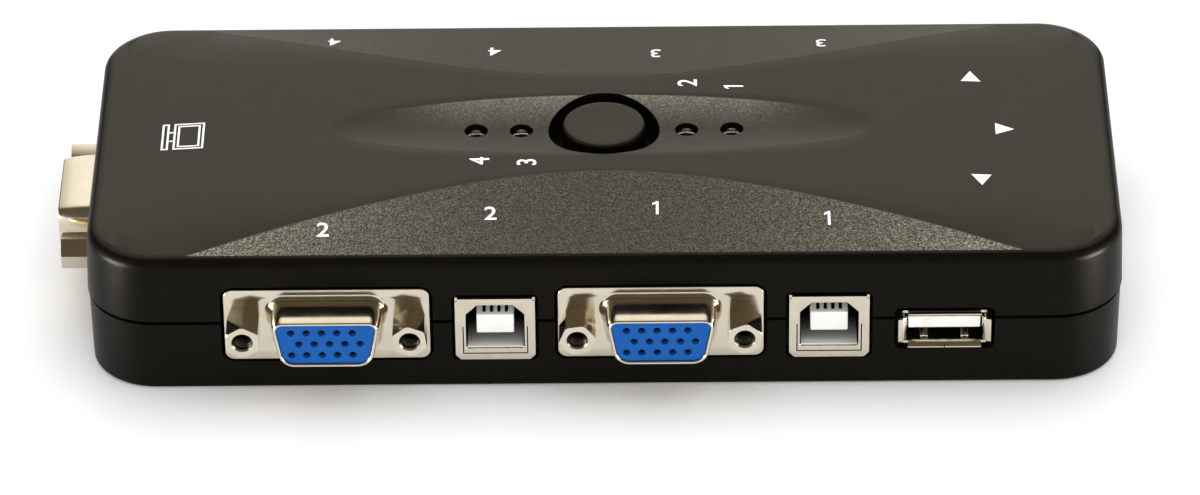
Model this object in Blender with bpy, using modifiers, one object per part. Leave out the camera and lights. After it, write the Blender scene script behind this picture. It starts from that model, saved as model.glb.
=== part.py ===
"""Desktop switch for four computers: a crowned two-part case, sockets on all sides and one push button."""

import math

import bmesh
import bpy
from mathutils import Matrix, Vector

# Case. Sizes are in metres, +X runs along the front, +Y to the rear, and the underside lies on Z 0.
CASE_LENGTH = 0.1560
CASE_DEPTH = 0.0660
CORNER_RADIUS = 0.0105
EDGE_HEIGHT = 0.0232
CROWN = 0.0025
PARTING_HEIGHT = 0.0120
PARTING_GAP = 0.0004
WALL = 0.0018
INNER_FILLET = 0.0001
TOP_LEAN = 0.00025
BASE_LEAN = 0.0002
BASE_FILLET = 0.0006
RIM_STEP = 0.0002
FLOOR = 0.0020
LIP_HEIGHT = 0.0016
LIP_ROOT = 0.0030
LIP_WALL = 0.0010
LIP_GAP = 0.0003
SEAT_GAP = 0.0003

# Dished eye round the button, and the two sloped panels that leave an arched waist between them.
EYE_HALF_LENGTH = 0.0415
EYE_HALF_DEPTH = 0.0082
EYE_DISH = 0.00135
WAIST_HALF_DEPTH = 0.0129
WAIST_SPREAD = 0.455
WAIST_FULLNESS = 8

# Button and the well that it stands in.
WELL_RADIUS = 0.0085
WELL_WALL = 0.0015
WELL_DEPTH = 0.0046
WELL_FLOOR = 0.0014
CAP_RADIUS = 0.0063
CAP_EDGE = 0.0005
CAP_WALL = 0.0014
CAP_FLANGE = 0.0012
CAP_CATCH = 0.0011
CAP_STEM_RADIUS = 0.0036

# Circuit board and the screws that clamp it between the two covers.
BOARD_TOP = 0.0050
BOARD_THICKNESS = 0.0016
BOARD_MARGIN = 0.0005
SCREW_END_INSET = 0.0090
SCREW_SIDE_INSET = 0.0085
SCREW_RADIUS = 0.0014
SCREW_LENGTH = 0.0100
SCREW_HEAD_RADIUS = 0.0026
SCREW_HEAD = 0.0015
SCREW_SUNK = 0.0003
SCREW_SLOT = 0.0008
SCREW_SLOT_LENGTH = 0.0034
SCREW_SLOT_DEPTH = 0.0008
SCREW_GAP = 0.0003
BOSS_RADIUS = 0.0032

# Lamps in the eye.
LAMP_PLACES = (-0.0195, -0.0126, 0.0126, 0.0195)
LAMP_RADIUS = 0.0015
LAMP_LENGTH = 0.0052
LAMP_FLANGE = 0.0004
LAMP_FLANGE_HEIGHT = 0.0010
LAMP_LEAD = 0.0005
LAMP_LEAD_PITCH = 0.00254
LAMP_GAP = 0.0003

# Places of the sockets: X of the first video socket, then steps to its neighbours.
FIRST_VIDEO_X = -0.0416
VIDEO_STEP = 0.0500
DATA_STEP = 0.0252
CONSOLE_DATA_X = 0.0509
VIDEO_HEIGHT = 0.0116
CONSOLE_DATA_HEIGHT = 0.0100
SOCKET_SUNK = 0.0002
OPENING_GAP = 0.0005
OPENING_DEPTH = 0.0070

# Video socket: pressed shell with its flange and shroud, moulded insert and two hexagon jack screws.
FLANGE_WIDTH = 0.0308
FLANGE_HEIGHT = 0.0125
FLANGE_THICKNESS = 0.0008
FLANGE_CORNER = 0.0014
SHROUD_WIDTH = 0.0163
SHROUD_HEIGHT = 0.0079
SHROUD_REACH = 0.0056
SHROUD_WALL = 0.0004
SHROUD_CORNER = 0.0026
SHROUD_SLANT = math.radians(10)
SHROUD_FLARE = 0.0008
INSERT_GAP = 0.00015
INSERT_SUNK = 0.0003
BLOCK_WIDTH = 0.0190
BLOCK_DEPTH = 0.0095
PIN_PITCH = 0.00229
PIN_ROW_PITCH = 0.00198
PIN_RADIUS = 0.0005
PIN_DEPTH = 0.0040
JACK_SPACING = 0.0250
JACK_FLATS = 0.0048
JACK_REACH = 0.0048
JACK_CHAMFER = 0.0004
JACK_BORE = 0.0014
JACK_BORE_DEPTH = 0.0042
JACK_STUD = 0.0013
JACK_STUD_LENGTH = 0.0036
BUSH_WALL = 0.0009
BUSH_DEPTH = 0.0030

# Square data socket for a computer.
SQUARE_WIDTH = 0.0120
SQUARE_HEIGHT = 0.0109
SQUARE_DEPTH = 0.0160
SQUARE_CORNER = 0.0006
SQUARE_PROUD = 0.0005
SQUARE_FACE = 0.0005
CAN_WALL = 0.0004
CAN_GAP = 0.0002
MOUTH_WIDTH = 0.0088
MOUTH_HEIGHT = 0.0078
MOUTH_CHAMFER = 0.0017
MOUTH_CORNER = 0.0002
MOUTH_RISE = 0.0005
MOUTH_DEPTH = 0.0095
SQUARE_TONGUE_WIDTH = 0.0056
SQUARE_TONGUE_HEIGHT = 0.0033
SQUARE_TONGUE_SUNK = 0.0008

# Flat data socket for a keyboard or mouse.
FLAT_WIDTH = 0.0131
FLAT_HEIGHT = 0.0057
FLAT_DEPTH = 0.0135
FLAT_CORNER = 0.0005
FLARE = 0.00045
FLARE_LENGTH = 0.0010
FLARE_NOTCH = 0.0009
FLAT_TONGUE_WIDTH = 0.0108
FLAT_TONGUE_HEIGHT = 0.0021
FLAT_TONGUE_RISE = 0.0008
FLAT_TONGUE_SUNK = 0.0012
FLAT_CORE = 0.0040
FLAT_HEEL = 0.0022

# Push switch under the button.
SWITCH_SIDE = 0.0120
SWITCH_CORNER = 0.0005
SWITCH_BASE = 0.0036
SWITCH_PLATE = 0.0004
SWITCH_POCKET = 0.0024
PLUNGER_RADIUS = 0.0032
PLUNGER_RIM = 0.0006
PLUNGER_RIM_HEIGHT = 0.0008
PLUNGER_SHOULDER = 0.0006
PLUNGER_STUB = 0.0038
PLUNGER_STUB_HEIGHT = 0.0021
DOME_THICKNESS = 0.0002

# Parts on the board: length, depth and height of the chips, then the two cans. Insets are from an end.
CHIP_BEVEL = 0.0003
CONTROL_CHIP = (0.0180, 0.0075, 0.0023)
CONTROL_CHIP_PLACE = (-0.0345, 0.0)
SMALL_CHIP = (0.0100, 0.0062, 0.0018)
VIDEO_CHIP_INSET = 0.0230
VIDEO_CHIP_Y = 0.0080
DATA_CHIP_PLACE = (0.0370, 0.0060)
CRYSTAL_LENGTH = 0.0110
CRYSTAL_DEPTH = 0.0046
CRYSTAL_HEIGHT = 0.0035
CRYSTAL_CORNER = 0.0022
CRYSTAL_PLACE = (0.0370, -0.0080)
CAPACITOR_RADIUS = 0.0030
CAPACITOR_HEIGHT = 0.0080
CAPACITOR_GROOVE = 0.0003
CAPACITOR_NECK = 0.0012
CAPACITOR_INSET = 0.0260

# Facets of round shapes.
CORNER_STEPS = 4
FILLET_STEPS = 3
SMALL_STEPS = 2
FLAT_STEPS = 1
EYE_STEPS = 6
WAIST_STEPS = 3
DOME_STEPS = 4
PIN_SIDES = 6
HEX_SIDES = 6
SMALL_SIDES = 10
ROUND_SIDES = 16
BUTTON_SIDES = 32
SMOOTH_ANGLE = math.radians(32)
SMALLEST_BEND = 0.00015
CUT_OVER = 0.0020
WELD = 1e-7

# Sizes that follow from those above.
EDGE_FILLET = WALL + INNER_FILLET
SHEET_INSET = TOP_LEAN + EDGE_FILLET
CORE_X = CASE_LENGTH / 2 - CORNER_RADIUS
CORE_Y = CASE_DEPTH / 2 - CORNER_RADIUS
SHEET_RADIUS = CORNER_RADIUS - SHEET_INSET
SHEET_X = CORE_X + SHEET_RADIUS
SHEET_Y = CORE_Y + SHEET_RADIUS
APEX = EDGE_HEIGHT + CROWN
SCREW_X = CASE_LENGTH / 2 - SCREW_END_INSET
SCREW_Y = CASE_DEPTH / 2 - SCREW_SIDE_INSET
LIP_OUTER = WALL + LIP_GAP
LIP_INNER = LIP_OUTER + LIP_WALL
WELL_FLOOR_TOP = APEX - WELL_DEPTH
CAP_TRAVEL_STOP = WELL_FLOOR_TOP - WELL_FLOOR - SEAT_GAP
SWITCH_TOP = BOARD_TOP + SEAT_GAP + SWITCH_BASE
PLATE_TOP = SWITCH_TOP + SEAT_GAP + SWITCH_PLATE
SHOULDER_TOP = PLATE_TOP + PLUNGER_SHOULDER
STUB_TOP = SHOULDER_TOP + PLUNGER_STUB_HEIGHT
SCREW_SEAT = SCREW_SUNK + SCREW_HEAD + SEAT_GAP
SQUARE_CENTRE = BOARD_TOP + SEAT_GAP + SQUARE_HEIGHT / 2
VIDEO_CHIP_PLACE = (VIDEO_CHIP_INSET - CASE_LENGTH / 2, VIDEO_CHIP_Y)
CAPACITOR_PLACE = (CASE_LENGTH / 2 - CAPACITOR_INSET, 0.0)

SIDE_TURNS = {"front": 0.0, "right": math.pi / 2, "rear": math.pi, "left": -math.pi / 2}


# Scene helpers

def clear_scene():
    """Removes what the file holds, so that only the switch is left."""
    for item in list(bpy.data.objects):
        bpy.data.objects.remove(item, do_unlink=True)


def collection(name):
    """A new collection in the scene."""
    group = bpy.data.collections.new(name)
    bpy.context.scene.collection.children.link(group)
    return group


def material(name, colour, roughness, metallic=0.0):
    """A Principled material of one colour."""
    finish = bpy.data.materials.new(name)
    finish.use_nodes = True
    shader = finish.node_tree.nodes["Principled BSDF"]
    shader.inputs["Base Color"].default_value = (*colour, 1.0)
    shader.inputs["Roughness"].default_value = roughness
    shader.inputs["Metallic"].default_value = metallic
    return finish


def draft(name, data):
    """A working object, kept out of the parts."""
    item = bpy.data.objects.new(name, data)
    cutters.objects.link(item)
    item.hide_render = True
    item.display_type = "WIRE"
    return item


def settle(item):
    """The evaluated mesh of a working object, welded, facing out and free of the object."""
    bpy.context.view_layer.update()
    evaluated = item.evaluated_get(bpy.context.evaluated_depsgraph_get())
    mesh = bpy.data.meshes.new_from_object(evaluated)
    mesh.transform(item.matrix_world)
    bpy.data.objects.remove(item, do_unlink=True)
    shell = bmesh.new()
    shell.from_mesh(mesh)
    bmesh.ops.remove_doubles(shell, verts=shell.verts, dist=WELD)
    bmesh.ops.recalc_face_normals(shell, faces=shell.faces)
    shell.to_mesh(mesh)
    shell.free()
    return mesh


def combine(mesh, others, operation):
    """One mesh from a base and others, by a Boolean for each."""
    base = draft("base", mesh)
    tools = []
    for other in others:
        tool = draft("tool", other)
        tools.append(tool)
        modifier = base.modifiers.new(operation.lower(), "BOOLEAN")
        modifier.operation = operation
        modifier.solver = "EXACT"
        modifier.object = tool
    result = settle(base)
    for tool in tools:
        bpy.data.objects.remove(tool, do_unlink=True)
    return result


def joined(mesh, *others):
    """The union of a mesh with others."""
    return combine(mesh, others, "UNION")


def cut(mesh, *others):
    """A mesh with others taken out of it."""
    return combine(mesh, others, "DIFFERENCE")


def part(name, mesh, finish, location=(0, 0, 0), rotation=(0, 0, 0)):
    """A finished sub-part in its place on the case."""
    if not mesh.materials:
        mesh.materials.append(finish)
        mesh.shade_smooth()
        mesh.set_sharp_from_angle(angle=SMOOTH_ANGLE)
    item = bpy.data.objects.new(name, mesh)
    parts.objects.link(item)
    item.location = location
    item.rotation_euler = rotation
    item.parent = root
    return item


# Shape helpers

def rectangle(width, height, centre=(0.0, 0.0)):
    """Corners of a rectangle, anticlockwise."""
    x, y = centre
    return [
        (x - width / 2, y - height / 2),
        (x + width / 2, y - height / 2),
        (x + width / 2, y + height / 2),
        (x - width / 2, y + height / 2),
    ]


def rounded(corners, radius, grow=0.0, steps=CORNER_STEPS):
    """A convex outline with round corners, its sides moved out by grow."""
    points = []
    for index, corner in enumerate(corners):
        corner = Vector(corner)
        back = (Vector(corners[index - 1]) - corner).normalized()
        ahead = (Vector(corners[(index + 1) % len(corners)]) - corner).normalized()
        inward = (back + ahead).normalized()
        half = back.angle(ahead) / 2
        bend = max(radius + grow, SMALLEST_BEND)
        centre = corner + inward * ((bend - grow) / math.sin(half))
        first = math.atan2(back.x, -back.y)
        sweep = math.pi - 2 * half
        for step in range(steps + 1):
            angle = first + sweep * step / steps
            points.append((centre.x + bend * math.cos(angle), centre.y + bend * math.sin(angle)))
    return points


def circle(radius, sides, centre=(0.0, 0.0)):
    """A round outline."""
    turns = [2 * math.pi * side / sides for side in range(sides)]
    return [(centre[0] + radius * math.cos(t), centre[1] + radius * math.sin(t)) for t in turns]


def stack(*rings):
    """A closed solid lofted through outlines of like count, each given with its height, lowest first."""
    shell = bmesh.new()
    loops = []
    for outline, height in rings:
        loops.append([shell.verts.new((x, y, height)) for x, y in outline])
    for low, high in zip(loops, loops[1:]):
        for index in range(len(low)):
            after = (index + 1) % len(low)
            shell.faces.new((low[index], low[after], high[after], high[index]))
    shell.faces.new(list(reversed(loops[0])))
    shell.faces.new(loops[-1])
    mesh = bpy.data.meshes.new("stack")
    shell.to_mesh(mesh)
    shell.free()
    return mesh


def plate(outlines, low, high):
    """A flat solid between two heights: the first outline with the others as holes."""
    curve = bpy.data.curves.new("plate", "CURVE")
    curve.dimensions = "2D"
    curve.fill_mode = "BOTH"
    curve.extrude = (high - low) / 2
    for outline in outlines:
        spline = curve.splines.new("POLY")
        spline.points.add(len(outline) - 1)
        spline.use_cyclic_u = True
        for point, (x, y) in zip(spline.points, outline):
            point.co = (x, y, 0, 1)
    item = draft("plate", curve)
    item.location.z = (low + high) / 2
    return settle(item)


def rod(radius, low, high, sides=SMALL_SIDES, centre=(0.0, 0.0)):
    """A round bar along Z."""
    bar = bmesh.new()
    place = Matrix.Translation((*centre, (low + high) / 2))
    bmesh.ops.create_cone(
        bar,
        cap_ends=True,
        segments=sides,
        radius1=radius,
        radius2=radius,
        depth=high - low,
        matrix=place,
    )
    mesh = bpy.data.meshes.new("rod")
    bar.to_mesh(mesh)
    bar.free()
    return mesh


def block(width, height, low, high, centre=(0.0, 0.0)):
    """A square-edged bar along Z."""
    bar = bmesh.new()
    place = Matrix.Translation((*centre, (low + high) / 2))
    size = Matrix.Diagonal((width, height, high - low, 1.0))
    bmesh.ops.create_cube(bar, size=1.0, matrix=place @ size)
    mesh = bpy.data.meshes.new("block")
    bar.to_mesh(mesh)
    bar.free()
    return mesh


def turned(profile, sides=ROUND_SIDES):
    """A solid turned about Z from a profile that runs down its outer side."""
    mesh = bpy.data.meshes.new("profile")
    points = [(radius, 0.0, height) for radius, height in profile]
    mesh.from_pydata(points, [(index, index + 1) for index in range(len(points) - 1)], [])
    item = draft("turned", mesh)
    screw = item.modifiers.new("turn", "SCREW")
    screw.steps = sides
    screw.render_steps = sides
    screw.use_merge_vertices = True
    screw.merge_threshold = WELD
    return settle(item)


def arc(centre, radius, first, last, steps=FILLET_STEPS):
    """Points along an arc of a profile, with angles from the radius axis."""
    angles = [first + (last - first) * step / steps for step in range(steps + 1)]
    return [(centre[0] + radius * math.cos(a), centre[1] + radius * math.sin(a)) for a in angles]


def case_outline(inset):
    """The case's plan outline, moved in by inset."""
    return rounded(rectangle(CASE_LENGTH, CASE_DEPTH), CORNER_RADIUS, -inset, CORNER_STEPS)


def on_case(side, along, height, proud=0.0):
    """Location and rotation of a socket whose frame is X along its wall, Y up and Z out of the wall."""
    turn = SIDE_TURNS[side]
    reach = CASE_DEPTH / 2 if side in ("front", "rear") else CASE_LENGTH / 2
    spot = Matrix.Rotation(turn, 3, "Z") @ Vector((along, SOCKET_SUNK - reach - proud, height))
    return spot, (math.pi / 2, 0.0, turn)


# Case

def edge_depth(x):
    """Half depth of the top sheet at X, inside its rounded edge."""
    past = max(abs(x) - CORE_X, 0.0)
    return CORE_Y + math.sqrt(max(SHEET_RADIUS ** 2 - past ** 2, 0.0))


def eye_depth(x):
    """Half depth of the eye at X."""
    return EYE_HALF_DEPTH * math.sqrt(max(1 - (x / EYE_HALF_LENGTH) ** 2, 0.0))


def waist_depth(x):
    """Half depth of the smooth waist between the textured panels at X."""
    return min(math.hypot(WAIST_HALF_DEPTH, WAIST_SPREAD * x), edge_depth(x))


def waist_rise(x, y):
    """Rise of the waist above the edge: an arch along X that holds its height almost to the long edges."""
    arch = CROWN * (1 - (x / SHEET_X) ** 2)
    return arch * (1 - (y / SHEET_Y) ** WAIST_FULLNESS)


def top_height(x, y):
    """Height of the top: arched in the waist, dished in the eye and sloped straight down in the panels."""
    waist, edge = waist_depth(x), edge_depth(x)
    rise = waist_rise(x, min(abs(y), waist))
    if abs(y) > waist:
        rise *= (edge - abs(y)) / (edge - waist)
    dish = EYE_DISH * max(1 - (x / EYE_HALF_LENGTH) ** 2 - (y / EYE_HALF_DEPTH) ** 2, 0.0)
    return EDGE_HEIGHT + rise - dish


def column_places():
    """X of the top sheet's grid lines: close at the eye's tips and round the corners."""
    quarter = math.pi / 2
    eye = [EYE_HALF_LENGTH * math.sin(quarter * step / EYE_STEPS) for step in range(1, EYE_STEPS + 1)]
    waist_end = math.sqrt(SHEET_Y ** 2 - WAIST_HALF_DEPTH ** 2) / WAIST_SPREAD
    gap = (waist_end - EYE_HALF_LENGTH) / WAIST_STEPS
    outer = [EYE_HALF_LENGTH + gap * step for step in range(1, WAIST_STEPS + 1)]
    turns = [quarter * step / CORNER_STEPS for step in range(CORNER_STEPS + 1)]
    corner = [CORE_X + SHEET_RADIUS * math.sin(turn) for turn in turns]
    half = sorted(eye + outer + corner)
    return [-x for x in reversed(half)] + [0.0] + half


def row_places(x):
    """Y of the grid points at X: lines along the eye's rim, the panels' edges and the sheet's edge."""
    eye, waist, edge = eye_depth(x), waist_depth(x), edge_depth(x)
    half = [eye / 2, eye, (eye + waist) / 2, waist, (waist + edge) / 2, edge]
    return [-y for y in reversed(half)] + [0.0] + half


def top_skin():
    """The outer surface of the top cover, open at the parting line."""
    columns = column_places()
    rows = [row_places(x) for x in columns]
    last_column, last_row = len(columns) - 1, len(rows[0]) - 1
    skin = bmesh.new()
    bmesh.ops.create_grid(skin, x_segments=last_column, y_segments=last_row, size=1.0)
    for vert in skin.verts:
        column = round((vert.co.x + 1) / 2 * last_column)
        row = round((vert.co.y + 1) / 2 * last_row)
        x, y = columns[column], rows[column][row]
        vert.co = (x, y, top_height(x, y))
    bmesh.ops.remove_doubles(skin, verts=skin.verts, dist=WELD)
    bends = [math.pi / 2 * step / FILLET_STEPS for step in range(1, FILLET_STEPS + 1)]
    for bend in bends:
        drop = EDGE_FILLET * (1 - math.cos(bend))
        extend_skirt(skin, SHEET_INSET - EDGE_FILLET * math.sin(bend), EDGE_HEIGHT - drop)
    extend_skirt(skin, 0.0, PARTING_HEIGHT + PARTING_GAP / 2)
    mesh = bpy.data.meshes.new("top_skin")
    skin.to_mesh(mesh)
    skin.free()
    return mesh


def extend_skirt(skin, inset, height):
    """Runs the open edge of a skin on to the case outline, moved in by inset, at a new height."""
    edges = [edge for edge in skin.edges if edge.is_boundary]
    grown = bmesh.ops.extrude_edge_only(skin, edges=edges)["geom"]
    for vert in (item for item in grown if isinstance(item, bmesh.types.BMVert)):
        core = Vector((min(max(vert.co.x, -CORE_X), CORE_X), min(max(vert.co.y, -CORE_Y), CORE_Y)))
        spot = core + (vert.co.xy - core).normalized() * (CORNER_RADIUS - inset)
        vert.co = (spot.x, spot.y, height)


def screw_places():
    """X and Y of the four case screws."""
    return [(x, y) for y in (-SCREW_Y, SCREW_Y) for x in (-SCREW_X, SCREW_X)]


def build_top_cover(openings):
    """Crowned cover: a shell with the button's well, the lamp holes and four screw bosses."""
    item = draft("top_skin", top_skin())
    shell = item.modifiers.new("wall", "SOLIDIFY")
    shell.thickness = WALL
    shell.offset = -1.0
    shell.use_even_offset = True
    cover = settle(item)
    ring = WELL_RADIUS + WELL_WALL
    rim = (top_height(ring, 0.0) + top_height(0.0, ring) - WALL) / 2
    added = [rod(ring, WELL_FLOOR_TOP - WELL_FLOOR, rim, BUTTON_SIDES)]
    boss_foot = BOARD_TOP + SEAT_GAP
    for spot in screw_places():
        added.append(rod(BOSS_RADIUS, boss_foot, EDGE_HEIGHT - WALL / 2, ROUND_SIDES, spot))
    cover = joined(cover, *added)
    hole = CAP_RADIUS + SEAT_GAP
    removed = [
        rod(WELL_RADIUS, WELL_FLOOR_TOP, APEX + CUT_OVER, BUTTON_SIDES),
        rod(hole, WELL_FLOOR_TOP - WELL_FLOOR - CUT_OVER, WELL_FLOOR_TOP + CUT_OVER, BUTTON_SIDES),
    ]
    lamp_hole = LAMP_RADIUS + LAMP_GAP
    for x in LAMP_PLACES:
        removed.append(rod(lamp_hole, lamp_top() - WALL - CUT_OVER, APEX, SMALL_SIDES, (x, 0.0)))
    for spot in screw_places():
        depth = SCREW_SEAT + SCREW_LENGTH + SEAT_GAP
        removed.append(rod(SCREW_RADIUS + SCREW_GAP, boss_foot - CUT_OVER, depth, SMALL_SIDES, spot))
    part("top_cover", cut(cover, *removed, *openings), finishes["case"])


def build_bottom_cover(openings):
    """Tray that carries the board, with a lip that stands inside the top cover's wall."""
    rim = PARTING_HEIGHT - PARTING_GAP / 2
    foot_inset = RIM_STEP + BASE_LEAN
    rings = []
    for step in range(FILLET_STEPS + 1):
        bend = math.pi / 2 * step / FILLET_STEPS
        inset = foot_inset + BASE_FILLET * (1 - math.sin(bend))
        rings.append((case_outline(inset), BASE_FILLET * (1 - math.cos(bend))))
    rings.append((case_outline(RIM_STEP), rim))
    lip = plate([case_outline(LIP_OUTER)], rim - LIP_ROOT, rim + LIP_HEIGHT)
    cover = joined(stack(*rings), lip)
    hollow = stack(
        (case_outline(foot_inset + WALL), FLOOR),
        (case_outline(foot_inset + WALL), rim - LIP_ROOT),
        (case_outline(LIP_INNER), rim - LIP_ROOT + LIP_INNER - foot_inset - WALL),
        (case_outline(LIP_INNER), rim + LIP_HEIGHT + CUT_OVER),
    )
    cover = cut(cover, hollow)
    post_top = BOARD_TOP - BOARD_THICKNESS - SEAT_GAP
    head_hole = SCREW_HEAD_RADIUS + SCREW_GAP
    posts = [rod(head_hole + BUSH_WALL, FLOOR / 2, post_top, ROUND_SIDES, spot) for spot in screw_places()]
    cover = joined(cover, *posts)
    removed = []
    for spot in screw_places():
        removed.append(rod(head_hole, -CUT_OVER, SCREW_SEAT, ROUND_SIDES, spot))
        removed.append(rod(SCREW_RADIUS + SCREW_GAP, -CUT_OVER, post_top + CUT_OVER, SMALL_SIDES, spot))
    part("bottom_cover", cut(cover, *removed, *openings), finishes["case"])


def build_board():
    """Main board with its four screw holes."""
    outline = case_outline(LIP_INNER + BOARD_MARGIN)
    holes = [circle(SCREW_RADIUS + SCREW_GAP, SMALL_SIDES, spot) for spot in screw_places()]
    board = plate([outline, *holes], BOARD_TOP - BOARD_THICKNESS, BOARD_TOP)
    part("main_board", board, finishes["board"])


def build_case_screws():
    """Four cross-head screws that come up from the underside."""
    head_top = SCREW_SUNK + SCREW_HEAD
    profile = [
        (0.0, SCREW_SEAT + SCREW_LENGTH),
        (SCREW_RADIUS, SCREW_SEAT + SCREW_LENGTH - SCREW_RADIUS),
        (SCREW_RADIUS, head_top),
        (SCREW_HEAD_RADIUS, head_top),
        (SCREW_HEAD_RADIUS, SCREW_SUNK + SCREW_GAP),
        (SCREW_HEAD_RADIUS - SCREW_GAP, SCREW_SUNK),
        (0.0, SCREW_SUNK),
    ]
    slot_top = SCREW_SUNK + SCREW_SLOT_DEPTH
    cross = joined(
        block(SCREW_SLOT_LENGTH, SCREW_SLOT, 0.0, slot_top),
        block(SCREW_SLOT, SCREW_SLOT_LENGTH, 0.0, slot_top),
    )
    screw = cut(turned(profile), cross)
    for number, (x, y) in enumerate(screw_places(), 1):
        part(f"case_screw_{number}", screw, finishes["steel"], (x, y, 0.0))


# Video sockets

def shroud_corners():
    """Corners of the shroud's outline: its upper side is the wider one."""
    upper = SHROUD_WIDTH / 2
    lower = upper - SHROUD_HEIGHT * math.tan(SHROUD_SLANT)
    half = SHROUD_HEIGHT / 2
    return [(-lower, -half), (lower, -half), (upper, half), (-upper, half)]


def shroud(grow):
    """The shroud's outline, its sides moved out by grow."""
    return rounded(shroud_corners(), SHROUD_CORNER, grow, FILLET_STEPS)


def jack_places():
    """The two jack screws' places on the flange."""
    return [(-JACK_SPACING / 2, 0.0), (JACK_SPACING / 2, 0.0)]


def video_shell():
    """Pressed shell: flange, flared shroud and a threaded bush behind each jack screw."""
    face = rounded(rectangle(FLANGE_WIDTH, FLANGE_HEIGHT), FLANGE_CORNER, steps=SMALL_STEPS)
    flange = plate([face], -FLANGE_THICKNESS, 0.0)
    rings = [(shroud(SHROUD_FLARE), -FLANGE_THICKNESS / 2)]
    for step in range(SMALL_STEPS + 1):
        bend = math.pi / 2 * step / SMALL_STEPS
        rings.append((shroud(SHROUD_FLARE * (1 - math.sin(bend))), SHROUD_FLARE * (1 - math.cos(bend))))
    rings.append((shroud(0.0), SHROUD_REACH))
    bushes = []
    bores = []
    for spot in jack_places():
        bore = JACK_STUD + SCREW_GAP
        low = -FLANGE_THICKNESS - BUSH_DEPTH
        bushes.append(rod(bore + BUSH_WALL, low, -FLANGE_THICKNESS / 2, SMALL_SIDES, spot))
        bores.append(rod(bore, low - CUT_OVER, CUT_OVER, SMALL_SIDES, spot))
    solid = joined(flange, stack(*rings), *bushes)
    hollow = plate([shroud(-SHROUD_WALL)], -FLANGE_THICKNESS - CUT_OVER, SHROUD_REACH + CUT_OVER)
    return cut(solid, hollow, *bores)


def pin_places():
    """Three rows of five pin holes, the middle row half a step aside."""
    places = []
    for row in (-1, 0, 1):
        shift = PIN_PITCH / 4 if row == 0 else -PIN_PITCH / 4
        for column in range(-2, 3):
            places.append((column * PIN_PITCH + shift, row * PIN_ROW_PITCH))
    return places


def video_insert():
    """Moulded insert that fills the shroud, with its pin holes and the block that sits on the board."""
    front = SHROUD_REACH - INSERT_SUNK
    back = -FLANGE_THICKNESS - SEAT_GAP
    neck = plate([shroud(-SHROUD_WALL - INSERT_GAP)], back - CUT_OVER, front)
    seat = BOARD_TOP + SEAT_GAP - VIDEO_HEIGHT
    crest = FLANGE_HEIGHT / 2
    rear = block(BLOCK_WIDTH, crest - seat, back - BLOCK_DEPTH, back, (0.0, (crest + seat) / 2))
    holes = [rod(PIN_RADIUS, front - PIN_DEPTH, front + CUT_OVER, PIN_SIDES, spot) for spot in pin_places()]
    return cut(joined(neck, rear), *holes)


def jack_screw():
    """Hexagon jack screw: chamfered head, threaded bore and the stud that passes the flange."""
    radius = JACK_FLATS / math.sqrt(3)
    low = SEAT_GAP
    flats = circle(radius, HEX_SIDES)
    head = stack(
        (flats, low),
        (flats, JACK_REACH - JACK_CHAMFER),
        (circle(radius - JACK_CHAMFER, HEX_SIDES), JACK_REACH),
    )
    stud = rod(JACK_STUD, low - JACK_STUD_LENGTH, low + JACK_CHAMFER)
    bore = rod(JACK_BORE, JACK_REACH - JACK_BORE_DEPTH, JACK_REACH + CUT_OVER)
    return cut(joined(head, stud), bore)


def video_places():
    """Name, side and place along the wall of each video socket."""
    second = FIRST_VIDEO_X + VIDEO_STEP
    return [
        ("video_1", "front", second),
        ("video_2", "front", FIRST_VIDEO_X),
        ("video_3", "rear", -second),
        ("video_4", "rear", -FIRST_VIDEO_X),
        ("console_video", "left", 0.0),
    ]


def build_video_sockets():
    """Five video sockets, each of a shell, an insert and two jack screws."""
    shell, insert, jack = video_shell(), video_insert(), jack_screw()
    for name, side, along in video_places():
        spot, turn = on_case(side, along, VIDEO_HEIGHT)
        part(f"{name}_shell", shell, finishes["nickel"], spot, turn)
        part(f"{name}_insert", insert, finishes["blue"], spot, turn)
        for label, place in zip(("left", "right"), jack_places()):
            jack_spot, _ = on_case(side, along + place[0], VIDEO_HEIGHT)
            part(f"{name}_jack_{label}", jack, finishes["nickel"], jack_spot, turn)


# Data sockets

def mouth(grow=0.0):
    """The square socket's mouth, with its upper corners cut off."""
    half = MOUTH_WIDTH / 2
    low = MOUTH_RISE - MOUTH_HEIGHT / 2
    high = MOUTH_RISE + MOUTH_HEIGHT / 2
    shoulder = half - MOUTH_CHAMFER
    corners = [
        (-half, low),
        (half, low),
        (half, high - MOUTH_CHAMFER),
        (shoulder, high),
        (-shoulder, high),
        (-half, high - MOUTH_CHAMFER),
    ]
    return rounded(corners, MOUTH_CORNER, grow, FLAT_STEPS)


def square_outline(grow):
    """The square socket's outline, its sides moved out by grow."""
    return rounded(rectangle(SQUARE_WIDTH, SQUARE_HEIGHT), SQUARE_CORNER, grow, SMALL_STEPS)


def square_shell():
    """Folded can with the mouth cut in its face and an open back."""
    can = plate([square_outline(0.0)], -SQUARE_DEPTH, 0.0)
    hollow = plate([square_outline(-CAN_WALL)], -SQUARE_DEPTH - CUT_OVER, -SQUARE_FACE)
    opening = plate([mouth()], -SQUARE_FACE - CUT_OVER, CUT_OVER)
    return cut(can, hollow, opening)


def square_body():
    """Insulator that fills the can, hollow round the tongue that carries the contacts."""
    solid = plate([square_outline(-CAN_WALL - CAN_GAP)], -SQUARE_DEPTH, -SQUARE_FACE - CAN_GAP)
    bottom = -SQUARE_FACE - MOUTH_DEPTH
    hollow = plate([mouth()], bottom, CUT_OVER)
    place = (0.0, MOUTH_RISE)
    root_end = bottom - CUT_OVER
    tongue = block(SQUARE_TONGUE_WIDTH, SQUARE_TONGUE_HEIGHT, root_end, -SQUARE_TONGUE_SUNK, place)
    return joined(cut(solid, hollow), tongue)


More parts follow.
